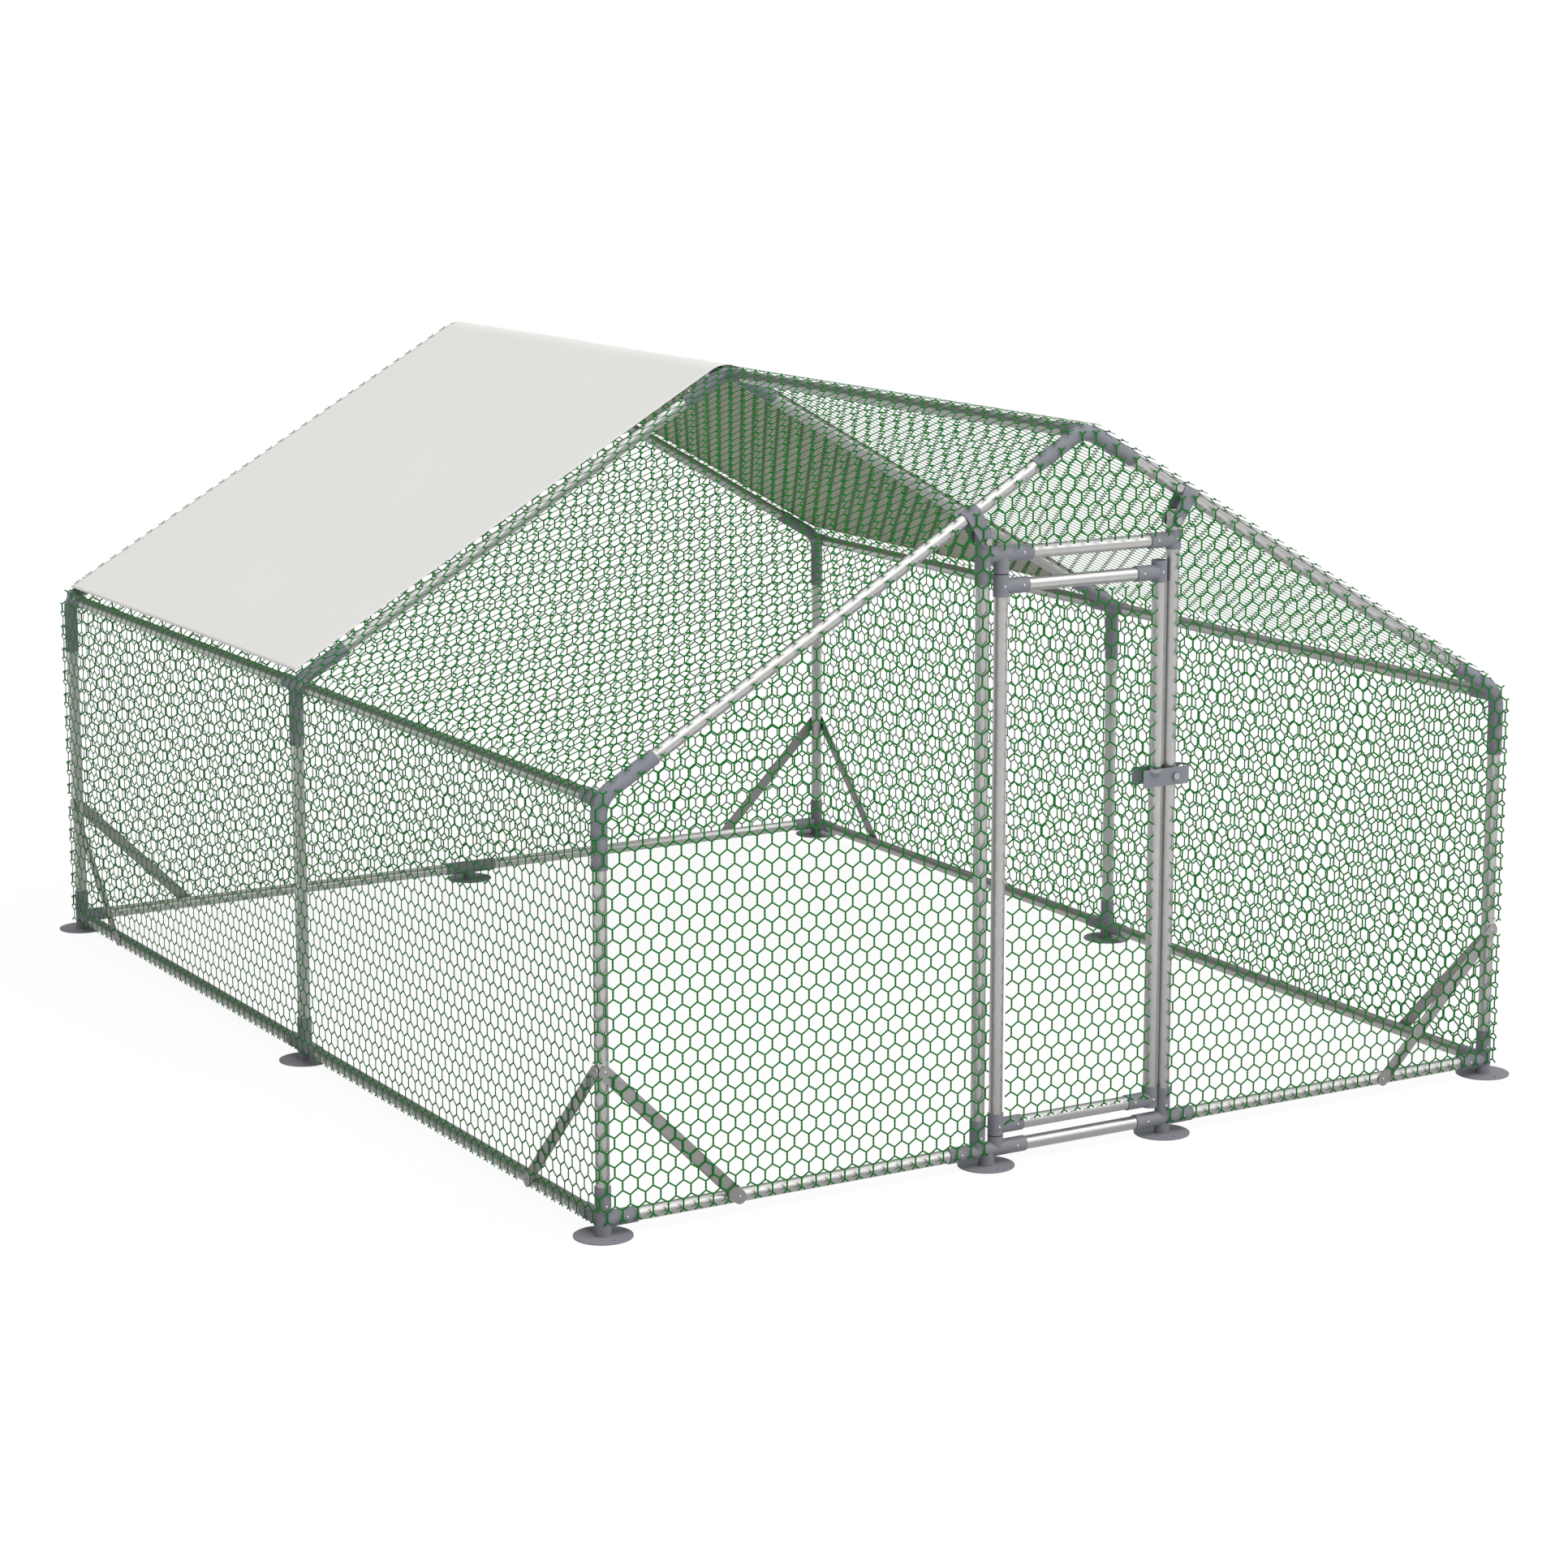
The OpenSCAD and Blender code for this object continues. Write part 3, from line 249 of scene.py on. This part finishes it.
def makeCoated(name, finish):
    material, tree, shader, place = startMaterial(name, finish["metallic"], finish["specular"])
    coat = addPlaced(tree, coatGrain, place, Grain_Scale=finish["grain"], Cloud_Scale=finish["cloud"])
    colour = mixColours(tree, coat.outputs["Cloud"], finish["light"], finish["dark"])
    colour = addDust(tree, place, colour, finish["dust"])
    tree.links.new(colour, shader.inputs["Base Color"])
    tree.links.new(coat.outputs["Rough"], shader.inputs["Roughness"])
    addBump(tree, shader, coat.outputs["Height"], finish["bump"])
    return material


def makeCloth(name, finish):
    # slow bands along and across the cut sheet, and a darker colour on its inner side: painted shade under
    # the roof
    material, tree, shader, place = startMaterial(name, finish["metallic"], finish["specular"])
    coat = addPlaced(tree, coatGrain, place, Grain_Scale=finish["grain"], Cloud_Scale=finish["cloud"])
    bands = addNode(tree, "ShaderNodeMath", {"operation": "MAXIMUM"})
    for n, axis in enumerate(("X", "Y")):
        band = addNode(
            tree, "ShaderNodeTexWave", {"bands_direction": axis}, Scale=finish["bands"], Distortion=0.4)
        tree.links.new(place.outputs["UV"], band.inputs["Vector"])
        tree.links.new(band.outputs["Fac"], bands.inputs[n])
    colour = mixColours(tree, coat.outputs["Cloud"], finish["light"], finish["dark"])
    # the lower skin takes the darker colour, which is painted shade under the sheet
    inner = addNode(tree, "ShaderNodeAttribute", {"attribute_name": "innerSide"})
    colour = mixColours(tree, inner.outputs["Fac"], colour, finish["inner"])
    tree.links.new(colour, shader.inputs["Base Color"])
    shader.inputs["Roughness"].default_value = finish["rough"]
    addBump(tree, shader, bands.outputs[0], finish["bump"])
    return material


# bump is a strength and a depth, and rough a pair of limits
finishes = {
    "galvanised_tube": makeGalvanised("galvanisedTube", {
        "metallic": 1.0, "specular": 0.5, "spangle": 70.0, "depth": 0.5, "dust": 0.15,
        "rough": (0.30, 0.42), "bump": (0.12, 0.0006),
        "bright": (0.57, 0.568, 0.562), "dull": (0.45, 0.448, 0.442),
    }),
    "zinc_screw": makeGalvanised("zincScrew", {
        "metallic": 1.0, "specular": 0.5, "spangle": 200.0, "depth": 0.4, "dust": 0.1,
        "rough": (0.2, 0.32), "bump": (0.12, 0.0006),
        "bright": (0.46, 0.46, 0.47), "dull": (0.32, 0.325, 0.335),
    }),
    "brace_grey": makeGalvanised("braceGrey", {
        "metallic": 0.85, "specular": 0.5, "spangle": 60.0, "depth": 0.5, "dust": 0.15,
        "rough": (0.36, 0.48), "bump": (0.12, 0.0006),
        "bright": (0.40, 0.397, 0.387), "dull": (0.29, 0.288, 0.281),
    }),
    "grey_sleeve": makeCoated("greySleeve", {
        "metallic": 0.0, "specular": 0.4, "grain": 900.0, "cloud": 9.0, "dust": 0.15,
        "bump": (0.1, 0.0004), "light": (0.240, 0.248, 0.281), "dark": (0.200, 0.207, 0.235),
    }),
    "net_green": makeCoated("netGreen", {
        "metallic": 0.0, "specular": 0.12, "grain": 400.0, "cloud": 30.0, "dust": 0.0,
        "bump": (0.05, 0.0004), "light": (0.003, 0.215, 0.020), "dark": (0.0015, 0.145, 0.011),
    }),
    "cover_white": makeCloth("coverCloth", {
        "metallic": 0.0, "specular": 0.3, "grain": 300.0, "cloud": 3.0, "bands": 1.0,
        "rough": 0.62, "bump": (0.25, 0.0004),   # one roughness all over
        # the inner colour is painted shade for the sheet's underside
        "light": (0.78, 0.771, 0.747), "dark": (0.76, 0.751, 0.728), "inner": (0.62, 0.565, 0.495),
    }),
}
for name, node in frame["nodes"].items():
    node.data.materials.clear()
    node.data.materials.append(finishes[recordSlots[name]])
print("finishes:", len(finishes))

# hexagonal netting
netting = {
    "width": 0.0454,         # between the twisted sides of a mesh
    "twist": 0.0264,         # length of a twisted side
    "row": 0.0399,           # from one row of twists to the next
    "wire": 0.0032,          # from a wire's middle to its corners
    "pair": 0.0007,          # radius at which two wires wind round each other
    "flat": 0.24,            # share of the depth left after the netting was rolled flat
    "turns": 1.5,            # turns of the pair along a twisted side
    "steps": 5,              # rings along a twisted side
    "stub": (0.1, 0.95),     # least and greatest share of a diagonal at a sheet's edge
    "shortest": 0.08,        # a shorter share of a twisted side is dropped
}


def hexUnits(sheet):
    # centres of the twisted sides of a honeycomb inside a sheet, twice for the two wires of each, with
    # the share of a diagonal that each wire has at its lower and at its upper end
    wide, row = netting["width"], netting["row"]
    uFrom, uTo, vFrom, vTo = sheet["span"]
    originU, originV = sheet["phase"]
    rows = np.arange(math.floor((vFrom - originV) / row), math.ceil((vTo - originV) / row) + 1)
    columns = np.arange(math.floor((uFrom - originU) / wide) - 1, math.ceil((uTo - originU) / wide) + 2)
    j, i = (index.ravel() for index in np.meshgrid(rows, columns, indexing="ij"))
    u, v = originU + (i + 0.5 * (j % 2)) * wide, originV + j * row

    def kept(a, b):
        return (a >= uFrom) & (a <= uTo) & (b >= vFrom) & (b <= vTo) & sheet["inside"](a, b)

    keep = kept(u, v)
    u, v = u[keep], v[keep]
    edgeFrom, edgeTo = sheet["edges"]
    units = []
    for side in (-1.0, 1.0):
        ends = []
        for way in (-1.0, 1.0):
            toward = -way * side
            joined = kept(u + toward * wide / 2, v + way * row)
            room = np.where(toward < 0, u - edgeFrom, edgeTo - u) / (wide / 2)
            share = np.where(room < 1.0, np.clip(room, *netting["stub"]), 0.5)
            ends += [joined, np.where(joined, 0.5, share)]
        units.append((u, v, np.full(len(u), side), *ends))
    return [np.concatenate(parts) for parts in zip(*units)]


def wirePaths(u, v, side, begin, stop, lowShare, highShare):
    # from the end of the lower arm through the helix of the twisted side to the end of the upper arm
    wide, twist, row = netting["width"], netting["twist"], netting["row"]
    t = begin[:, None] + (stop - begin)[:, None] * np.linspace(0.0, 1.0, netting["steps"])
    wind = np.where(side < 0, math.pi, 0.0)[:, None] + t * netting["turns"] * 2 * math.pi
    path = [u[:, None] + netting["pair"] * np.cos(wind), v[:, None] + (t - 0.5) * twist,
            netting["flat"] * netting["pair"] * np.sin(wind)]
    for share, way in ((lowShare, -1.0), (highShare, 1.0)):
        if share is not None:
            armU = u - way * side * share * wide / 2
            armV = v + way * (twist / 2 + share * (row - twist))
            arm = [end[:, None] for end in (armU, armV, np.zeros(len(u)))]
            joint = zip(arm, path) if way < 0 else zip(path, arm)
            path = [np.concatenate(parts, axis=1) for parts in joint]
    return path


def wireRings(path, place, capLow, capHigh):
    # a square ring carried along each path and laid on the net's surface, with a cap at a free end
    pathU, pathV, pathH = path
    alongU, alongV = np.gradient(pathU, axis=1), np.gradient(pathV, axis=1)
    long = np.hypot(alongU, alongV)
    ring = np.array([0.25, 0.75, 1.25, 1.75]) * math.pi
    reach = netting["wire"] * np.cos(ring)
    ringU = pathU[..., None] + (alongV / long)[..., None] * reach
    ringV = pathV[..., None] - (alongU / long)[..., None] * reach
    ringH = pathH[..., None] + netting["flat"] * netting["wire"] * np.sin(ring)
    points = place(ringU.ravel(), ringV.ravel(), ringH.ravel())
    count, steps, sides = ringU.shape
    base = (np.arange(count) * steps * sides)[:, None, None]
    step = (np.arange(steps - 1) * sides)[None, :, None]
    here = np.arange(sides)[None, None, :]
    after = (here + 1) % sides
    ringStart = base + step
    quads = np.stack(
        [ringStart + here, ringStart + after, ringStart + sides + after, ringStart + sides + here], axis=-1)
    first = base[:, 0, 0]
    lowCaps = first[capLow][:, None] + np.array([3, 2, 1, 0])
    highCaps = first[capHigh][:, None] + (steps - 1) * sides + np.array([0, 1, 2, 3])
    return points, np.concatenate([quads.reshape(-1, 4), lowCaps, highCaps])


def makeNet(sheet):
    # wires are cut off square at the sheet's trim heights, and have no arm past them
    u, v, side, lowJoined, lowShare, highJoined, highShare = hexUnits(sheet)
    twist, slant = netting["twist"], netting["row"] - netting["twist"]
    low, high = sheet.get("trim", (-math.inf, math.inf))
    begin = np.clip((low - v) / twist + 0.5, 0.0, 1.0)
    stop = np.clip((high - v) / twist + 0.5, 0.0, 1.0)
    hasLow = (begin == 0.0) & (lowJoined | (v - twist / 2 - lowShare * slant > low))
    hasHigh = (stop == 1.0) & (highJoined | (v + twist / 2 + highShare * slant < high))
    points, quads, total = [], [], 0
    for armLow in (True, False):
        for armHigh in (True, False):
            group = (hasLow == armLow) & (hasHigh == armHigh) & (stop - begin > netting["shortest"])
            if not group.any():
                continue
            path = wirePaths(
                u[group], v[group], side[group], begin[group], stop[group],
                lowShare[group] if armLow else None, highShare[group] if armHigh else None)
            capLow = ~lowJoined[group] if armLow else np.ones(group.sum(), bool)
            capHigh = ~highJoined[group] if armHigh else np.ones(group.sum(), bool)
            somePoints, someQuads = wireRings(path, sheet["place"], capLow, capHigh)
            points.append(somePoints)
            quads.append(someQuads + total)
            total += len(somePoints)
    piece = newMesh(sheet["name"], np.concatenate(points), np.concatenate(quads))
    piece.data.materials.append(finishes["net_green"])
    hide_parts(sheet["node"])
    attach(piece, sheet["body"])
    print(sheet["name"], "wires", len(u))


# the walls' sheets: u runs to the right seen from outside and v is the height; past the eave a side's
# sheet bends over the eave rail
netRadius = run["bendRadius"] + run["netPlane"]
eaveTangent = run["bendRadius"] * math.tan((math.pi / 2 - run["slope"]) / 2)
wallTop = run["eaveHeight"] - eaveTangent
eaveArc = netRadius * (math.pi / 2 - run["slope"])
cornerX, cornerY = run["halfWidth"] + run["netPlane"], run["halfLength"] + run["netPlane"]


def overEave(v, h):
    # height and outward distance of a point on a side, bent over the eave above the wall's top
    over = np.clip(v - wallTop, 0.0, None)
    angle = over / netRadius
    radius = netRadius + h
    z = np.where(over > 0, wallTop + radius * np.sin(angle), v)
    out = np.where(over > 0, radius * np.cos(angle) - run["bendRadius"], run["netPlane"] + h)
    return z, out


def frontPlace(u, v, h):
    # an upright plane: u to the right, v up and h out to the front
    return np.stack([u, -cornerY - h, v], axis=1)


def rearPlace(u, v, h):
    # the same at the back, with h out to the rear
    return np.stack([-u, cornerY + h, v], axis=1)


def leftPlace(u, v, h):
    # a wall bent over its eave: u runs to the front
    z, out = overEave(v, h)
    return np.stack([-run["halfWidth"] - out, -u, z], axis=1)


def rightPlace(u, v, h):
    # a wall bent over its eave: u runs to the rear
    z, out = overEave(v, h)
    return np.stack([run["halfWidth"] + out, u, z], axis=1)


cuts = {
    "bottom": 0.036,         # lowest twisted sides over the bottom rails
    "eave": 0.008,           # kept free at the top of the eaves' bend
    "gable": 0.004,          # how far the gable's wires reach past the rafters' centre lines
    "railEnd": 0.004,        # and the sides' wires past the ends of the eave rails
    "leftOfDoor": -0.309,
    "leftStub": 0.012,       # wires' ends past the last twisted side
    "rightOfDoor": 0.303,
    "rightStub": 0.002,
    "header": 1.727,         # where the wires above the door are cut
    "latchRoom": 0.062,
    "braceReach": 0.402,
    "braceRoom": 0.022,
    "seam": 1e-6,            # keeps a wire on the line between two sheets out of one of them
}


def underRafters(u, v):
    return v < ridgeHeight - np.abs(u) * tanSlope + cuts["gable"]


def clearOfBraces(u, v, corner):
    # the braces' flat ends cover the netting at their bolts
    away = np.abs(np.abs(u) - corner)
    top = np.hypot(away, v - run["railHeight"] - cuts["braceReach"])
    foot = np.hypot(away - cuts["braceReach"], v - run["railHeight"])
    return np.minimum(top, foot) > cuts["braceRoom"]


def gableRegion(u, v):
    return underRafters(u, v) & clearOfBraces(u, v, run["halfWidth"])


def latchRegion(u, v):
    latch = np.hypot(u - run["latchPost"], v - run["latchHeight"])
    return (latch > cuts["latchRoom"]) & gableRegion(u, v)


def sideRegion(u, v):
    overRail = (v < wallTop) | (np.abs(u) < run["halfLength"] + cuts["railEnd"])
    return overRail & clearOfBraces(u, v, run["halfLength"])


def everywhere(u, v):
    return np.ones(len(u), bool)


wallHigh = wallTop + eaveArc - cuts["eave"]
walls = {
    "front": {"place": frontPlace, "phase": (-0.3658, 0.0571), "edges": (-cornerX, cornerX)},
    "rear": {"place": rearPlace, "phase": (0.0, 0.0571), "edges": (-cornerX, cornerX)},
    "left": {"place": leftPlace, "phase": (1.9458, 0.0548), "edges": (-cornerY, cornerY)},
    "right": {"place": rightPlace, "phase": (-1.9660, 0.0571), "edges": (-cornerY, cornerY)},
}


def makeWallNet(wall, name, node, span, inside, **changes):
    # one net of a wall, from its own span and region and the wall's lattice
    sheet = {"name": name, "node": node, "body": "frame", "span": span, "inside": inside}
    makeNet({**walls[wall], **sheet, **changes})


low, leftCut, rightCut, headerCut, seam = (
    cuts[key] for key in ("bottom", "leftOfDoor", "rightOfDoor", "header", "seam"))
makeWallNet(
    "front", "front_left_netting", "front_left_net", (-cornerX, leftCut, low, ridgeHeight), gableRegion,
    edges=(-cornerX, leftCut + cuts["leftStub"]))
makeWallNet(
    "front", "front_right_netting", "front_right_net", (rightCut, cornerX, low, ridgeHeight), latchRegion,
    edges=(rightCut - cuts["rightStub"], cornerX))
makeWallNet(
    "front", "over_door_netting", "over_door_net",
    (leftCut, rightCut, headerCut - netting["twist"] / 2, ridgeHeight), underRafters,
    trim=(headerCut, math.inf))
for wall, bay, fromU, toU in (
        ("left", "left_front_bay", 0.0, cornerY), ("left", "left_rear_bay", -cornerY, -seam),
        ("right", "right_front_bay", -cornerY, -seam), ("right", "right_rear_bay", 0.0, cornerY)):
    makeWallNet(wall, bay + "_netting", wall + "_wall_net", (fromU, toU, low, wallHigh), sideRegion)
for half, fromU, toU in (("rear_left", seam, cornerX), ("rear_right", -cornerX, 0.0)):
    makeWallNet("rear", half + "_netting", "rear_net", (fromU, toU, low, ridgeHeight), gableRegion)

# the roof's surface: u runs over it from the left eave to the right one, and v along the ridge
roofRun = rafterLength - bendTangent - eaveTangent
ridgeArc = netRadius * 2 * run["slope"]
roofMid = roofRun + ridgeArc / 2


def roofPlace(u, v, h, lift=0.0):
    # straight slopes joined by an arc over the ridge; lift raises the surface off the netting
    out = run["netPlane"] + lift + h
    side = np.where(u < roofMid, -1.0, 1.0)
    w = np.where(u < roofMid, u, 2 * roofMid - u)
    along = eaveTangent + np.minimum(w, roofRun)
    x = run["halfWidth"] - along * cosSlope + out * sinSlope
    z = run["eaveHeight"] + along * sinSlope + out * cosSlope
    angle = run["slope"] - np.clip(w - roofRun, 0.0, None) / netRadius
    radius = run["bendRadius"] + out
    onArc = w > roofRun
    x = np.where(onArc, radius * np.sin(angle), x)
    z = np.where(onArc, ridgeHeight - run["bendRadius"] / cosSlope + radius * np.cos(angle), z)
    return np.stack([side * x, v, z], axis=1)


# the roof's netting is even in plan: u is the distance to the right of the ridge, and v runs along it
roofNet = {"phase": (0.0075, 0.0012), "overhang": 0.006}
roofReach = run["halfWidth"] + run["netPlane"] * sinSlope - eaveTangent * cosSlope
roofEnd = run["halfLength"] + roofNet["overhang"]


def roofPlanPlace(u, v, h):
    # the plan distance is turned into a length over the slope, or over the arc at the ridge
    reach = np.abs(u)
    angle = np.arcsin(np.clip(reach / netRadius, 0.0, 1.0))
    overArc = roofRun + (run["slope"] - angle) * netRadius
    length = np.where(reach > netRadius * sinSlope, (roofReach - reach) / cosSlope, overArc)
    return roofPlace(np.where(u < 0, length, 2 * roofMid - length), v, h)


for slope, spanU in (("left", (-roofReach, -seam)), ("right", (0.0, roofReach))):
    for bay, spanV in (("front", (-roofEnd, 0.0)), ("rear", (seam, roofEnd))):
        makeNet({
            "name": f"{slope}_{bay}_roof_netting", "node": slope + "_roof_net", "body": "frame",
            "place": roofPlanPlace, "phase": roofNet["phase"], "span": spanU + spanV,
            "edges": (-roofReach, roofReach), "inside": everywhere})

# the door's netting lies a little deeper, clear of the latch's front leg
doorNet = {
    "plane": 0.0258,
    "left": -0.251,
    "right": 0.224,
    "bottom": 0.112,
    "top": 1.612,
    "stubs": (0.004, 0.014),     # wires' ends past the first and the last twisted side
    "phase": (-0.2356, 0.1416),
}


def doorPlace(u, v, h):
    # an upright plane before the door's tubes: u to the right, v up and h out to the front
    return np.stack([u, -run["halfLength"] - doorNet["plane"] - h, v], axis=1)


makeNet({
    "name": "door_netting", "node": "door_net", "body": "door", "place": doorPlace,
    "phase": doorNet["phase"], "inside": everywhere,
    "span": (doorNet["left"], doorNet["right"], doorNet["bottom"], doorNet["top"]),
    "edges": (doorNet["left"] - doorNet["stubs"][0], doorNet["right"] + doorNet["stubs"][1]),
    "trim": (doorNet["bottom"], doorNet["top"])})

# rain cover
cover = {
    "front": 0.016,
    "rear": run["halfLength"] + 0.002,
    "lowEdge": 0.0225,       # from the eave's crossing up the slope
    "lift": 0.0018,          # off the netting's middle
    "thickness": 0.0012,
    "ripple": 0.0012,        # half the height of the waves
    "waves": (9.0, 3.0),     # radians to a metre over the roof and along it
    "sway": 2.0,             # how far the waves wander, in radians
    "across": 260,
    "along": 120,
}


def makeCover():
    # the sheet follows the roof's own surface, with shallow waves that fade at its held edges; an upper
    # and a lower skin are joined round the rim
    lowEdge = cover["lowEdge"] - eaveTangent
    u = np.linspace(lowEdge, 2 * roofMid - lowEdge, cover["across"])
    v = np.linspace(cover["front"], cover["rear"], cover["along"])
    gridU, gridV = np.meshgrid(u, v, indexing="ij")
    fade = np.sin(math.pi * (gridV - v[0]) / (v[-1] - v[0])) ** 2
    waveU, waveV = cover["waves"]
    wave = np.sin(gridU * waveU + cover["sway"] * np.sin(gridV * waveV))
    ripple = cover["ripple"] * fade * (1.0 + wave)
    skins = [roofPlace(gridU.ravel(), gridV.ravel(), ripple.ravel(), cover["lift"] + rise)
             for rise in (cover["thickness"], 0.0)]
    index = np.arange(gridU.size).reshape(gridU.shape)
    upper = np.stack([index[:-1, :-1], index[1:, :-1], index[1:, 1:], index[:-1, 1:]], axis=-1)
    upper = upper.reshape(-1, 4)
    lower = upper[:, ::-1] + gridU.size
    loop = np.concatenate([index[:-1, 0], index[-1, :-1], index[:0:-1, -1], index[0, :0:-1]])
    after = np.roll(loop, -1)
    rim = np.stack([after, loop, loop + gridU.size, after + gridU.size], axis=-1)
    quads = np.concatenate([upper, lower, rim])
    faceCounts = [len(upper), len(lower), len(rim)]
    piece = newMesh("rain_cover_sheet", np.concatenate(skins), quads)
    piece.data.polygons.foreach_set("use_smooth", np.repeat([True, True, False], faceCounts))
    cut = np.tile(np.stack([gridU.ravel(), gridV.ravel()], axis=1), (2, 1))[quads.ravel()]
    piece.data.uv_layers.new(name="cut").data.foreach_set("uv", cut.astype(np.float32).ravel())
    # marks the lower skin's faces, which take the cover finish's painted shade
    inner = np.repeat([0.0, 1.0, 0.0], faceCounts).astype(np.float32)
    piece.data.attributes.new("innerSide", "FLOAT", "FACE").data.foreach_set("value", inner)
    piece.data.materials.append(finishes["cover_white"])
    return piece, (v[-1] - v[0], u[-1] - u[0])


coverSheet, coverFlat = makeCover()
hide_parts("rain_cover")
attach(coverSheet, "frame")
print("cover cut to", [round(side, 3) for side in coverFlat])

# floor and light
studio = {
    "floorHalf": 60.0,
    "floorTone": 0.07,
    "floorRough": 0.9,
    "floorSeen": 0.93,
    "floorGlow": (0.52, 0.95),   # light from the floor near the run and far from it
    "floorReach": (2.2, 4.5),    # where it begins to grow, and where it has grown
    "backdrop": 1.0,
    "low": 0.22,                 # light from every side
    # direction, where a light begins and its gain: overhead, and high at the front right
    "lights": (((0.0, 0.0, 1.0), 0.45, 0.85), ((0.330, -0.500, 0.801), 0.55, 1.9)),
}
white = (1.0, 1.0, 1.0, 1.0)


def seenOrCast(tree, seen, cast):
    # a strength of its own for what the camera sees directly, so that the ground stays plain and pale
    path = addNode(tree, "ShaderNodeLightPath")
    pick = addNode(tree, "ShaderNodeMix", {"data_type": "FLOAT"})
    tree.links.new(path.outputs["Is Camera Ray"], pick.inputs[0])
    tree.links.new(cast, pick.inputs[2])
    pick.inputs[3].default_value = seen
    return pick.outputs[0]


def makeFloor():
    # a flat square whose glow grows with the distance from the run
    half, tone = studio["floorHalf"], studio["floorTone"]
    corners = np.array([[-half, -half, 0], [half, -half, 0], [half, half, 0], [-half, half, 0]])
    floor = newMesh("floor", corners, np.array([[0, 1, 2, 3]]))
    material, tree, shader, place = startMaterial("floorFinish", 0.0, 0.0)
    shader.inputs["Base Color"].default_value = (tone, tone, tone, 1.0)
    shader.inputs["Roughness"].default_value = studio["floorRough"]
    shader.inputs["Emission Color"].default_value = white
    away = addNode(tree, "ShaderNodeVectorMath", {"operation": "LENGTH"})
    tree.links.new(place.outputs["Object"], away.inputs[0])
    glow = addNode(tree, "ShaderNodeMapRange", {"interpolation_type": "SMOOTHSTEP"})
    for n, value in enumerate(studio["floorReach"] + studio["floorGlow"]):
        glow.inputs[n + 1].default_value = value
    tree.links.new(away.outputs["Value"], glow.inputs["Value"])
    strength = seenOrCast(tree, studio["floorSeen"], glow.outputs[0])
    tree.links.new(strength, shader.inputs["Emission Strength"])
    floor.data.materials.append(material)


def makeSky():
    # wide soft lights round their directions, over a low light from every side
    world = bpy.data.worlds.new("studio")
    world.use_nodes = True
    tree = world.node_tree
    link = tree.links.new
    heading = addNode(tree, "ShaderNodeTexCoord")
    total = None
    for direction, begin, gain in studio["lights"]:
        facing = addNode(tree, "ShaderNodeVectorMath", {"operation": "DOT_PRODUCT"})
        link(heading.outputs["Generated"], facing.inputs[0])
        facing.inputs[1].default_value = direction
        light = addNode(
            tree, "ShaderNodeMapRange", {"interpolation_type": "SMOOTHSTEP"}, From_Min=begin, To_Max=gain)
        link(facing.outputs["Value"], light.inputs["Value"])
        added = addNode(tree, "ShaderNodeMath", {"operation": "ADD"})
        link(light.outputs[0], added.inputs[0])
        added.inputs[1].default_value = studio["low"]
        if total is not None:
            link(total, added.inputs[1])
        total = added.outputs[0]
    background = tree.nodes["Background"]
    link(seenOrCast(tree, studio["backdrop"], total), background.inputs["Strength"])
    background.inputs["Color"].default_value = white
    bpy.context.scene.world = world


makeFloor()
makeSky()
print("studio ready")
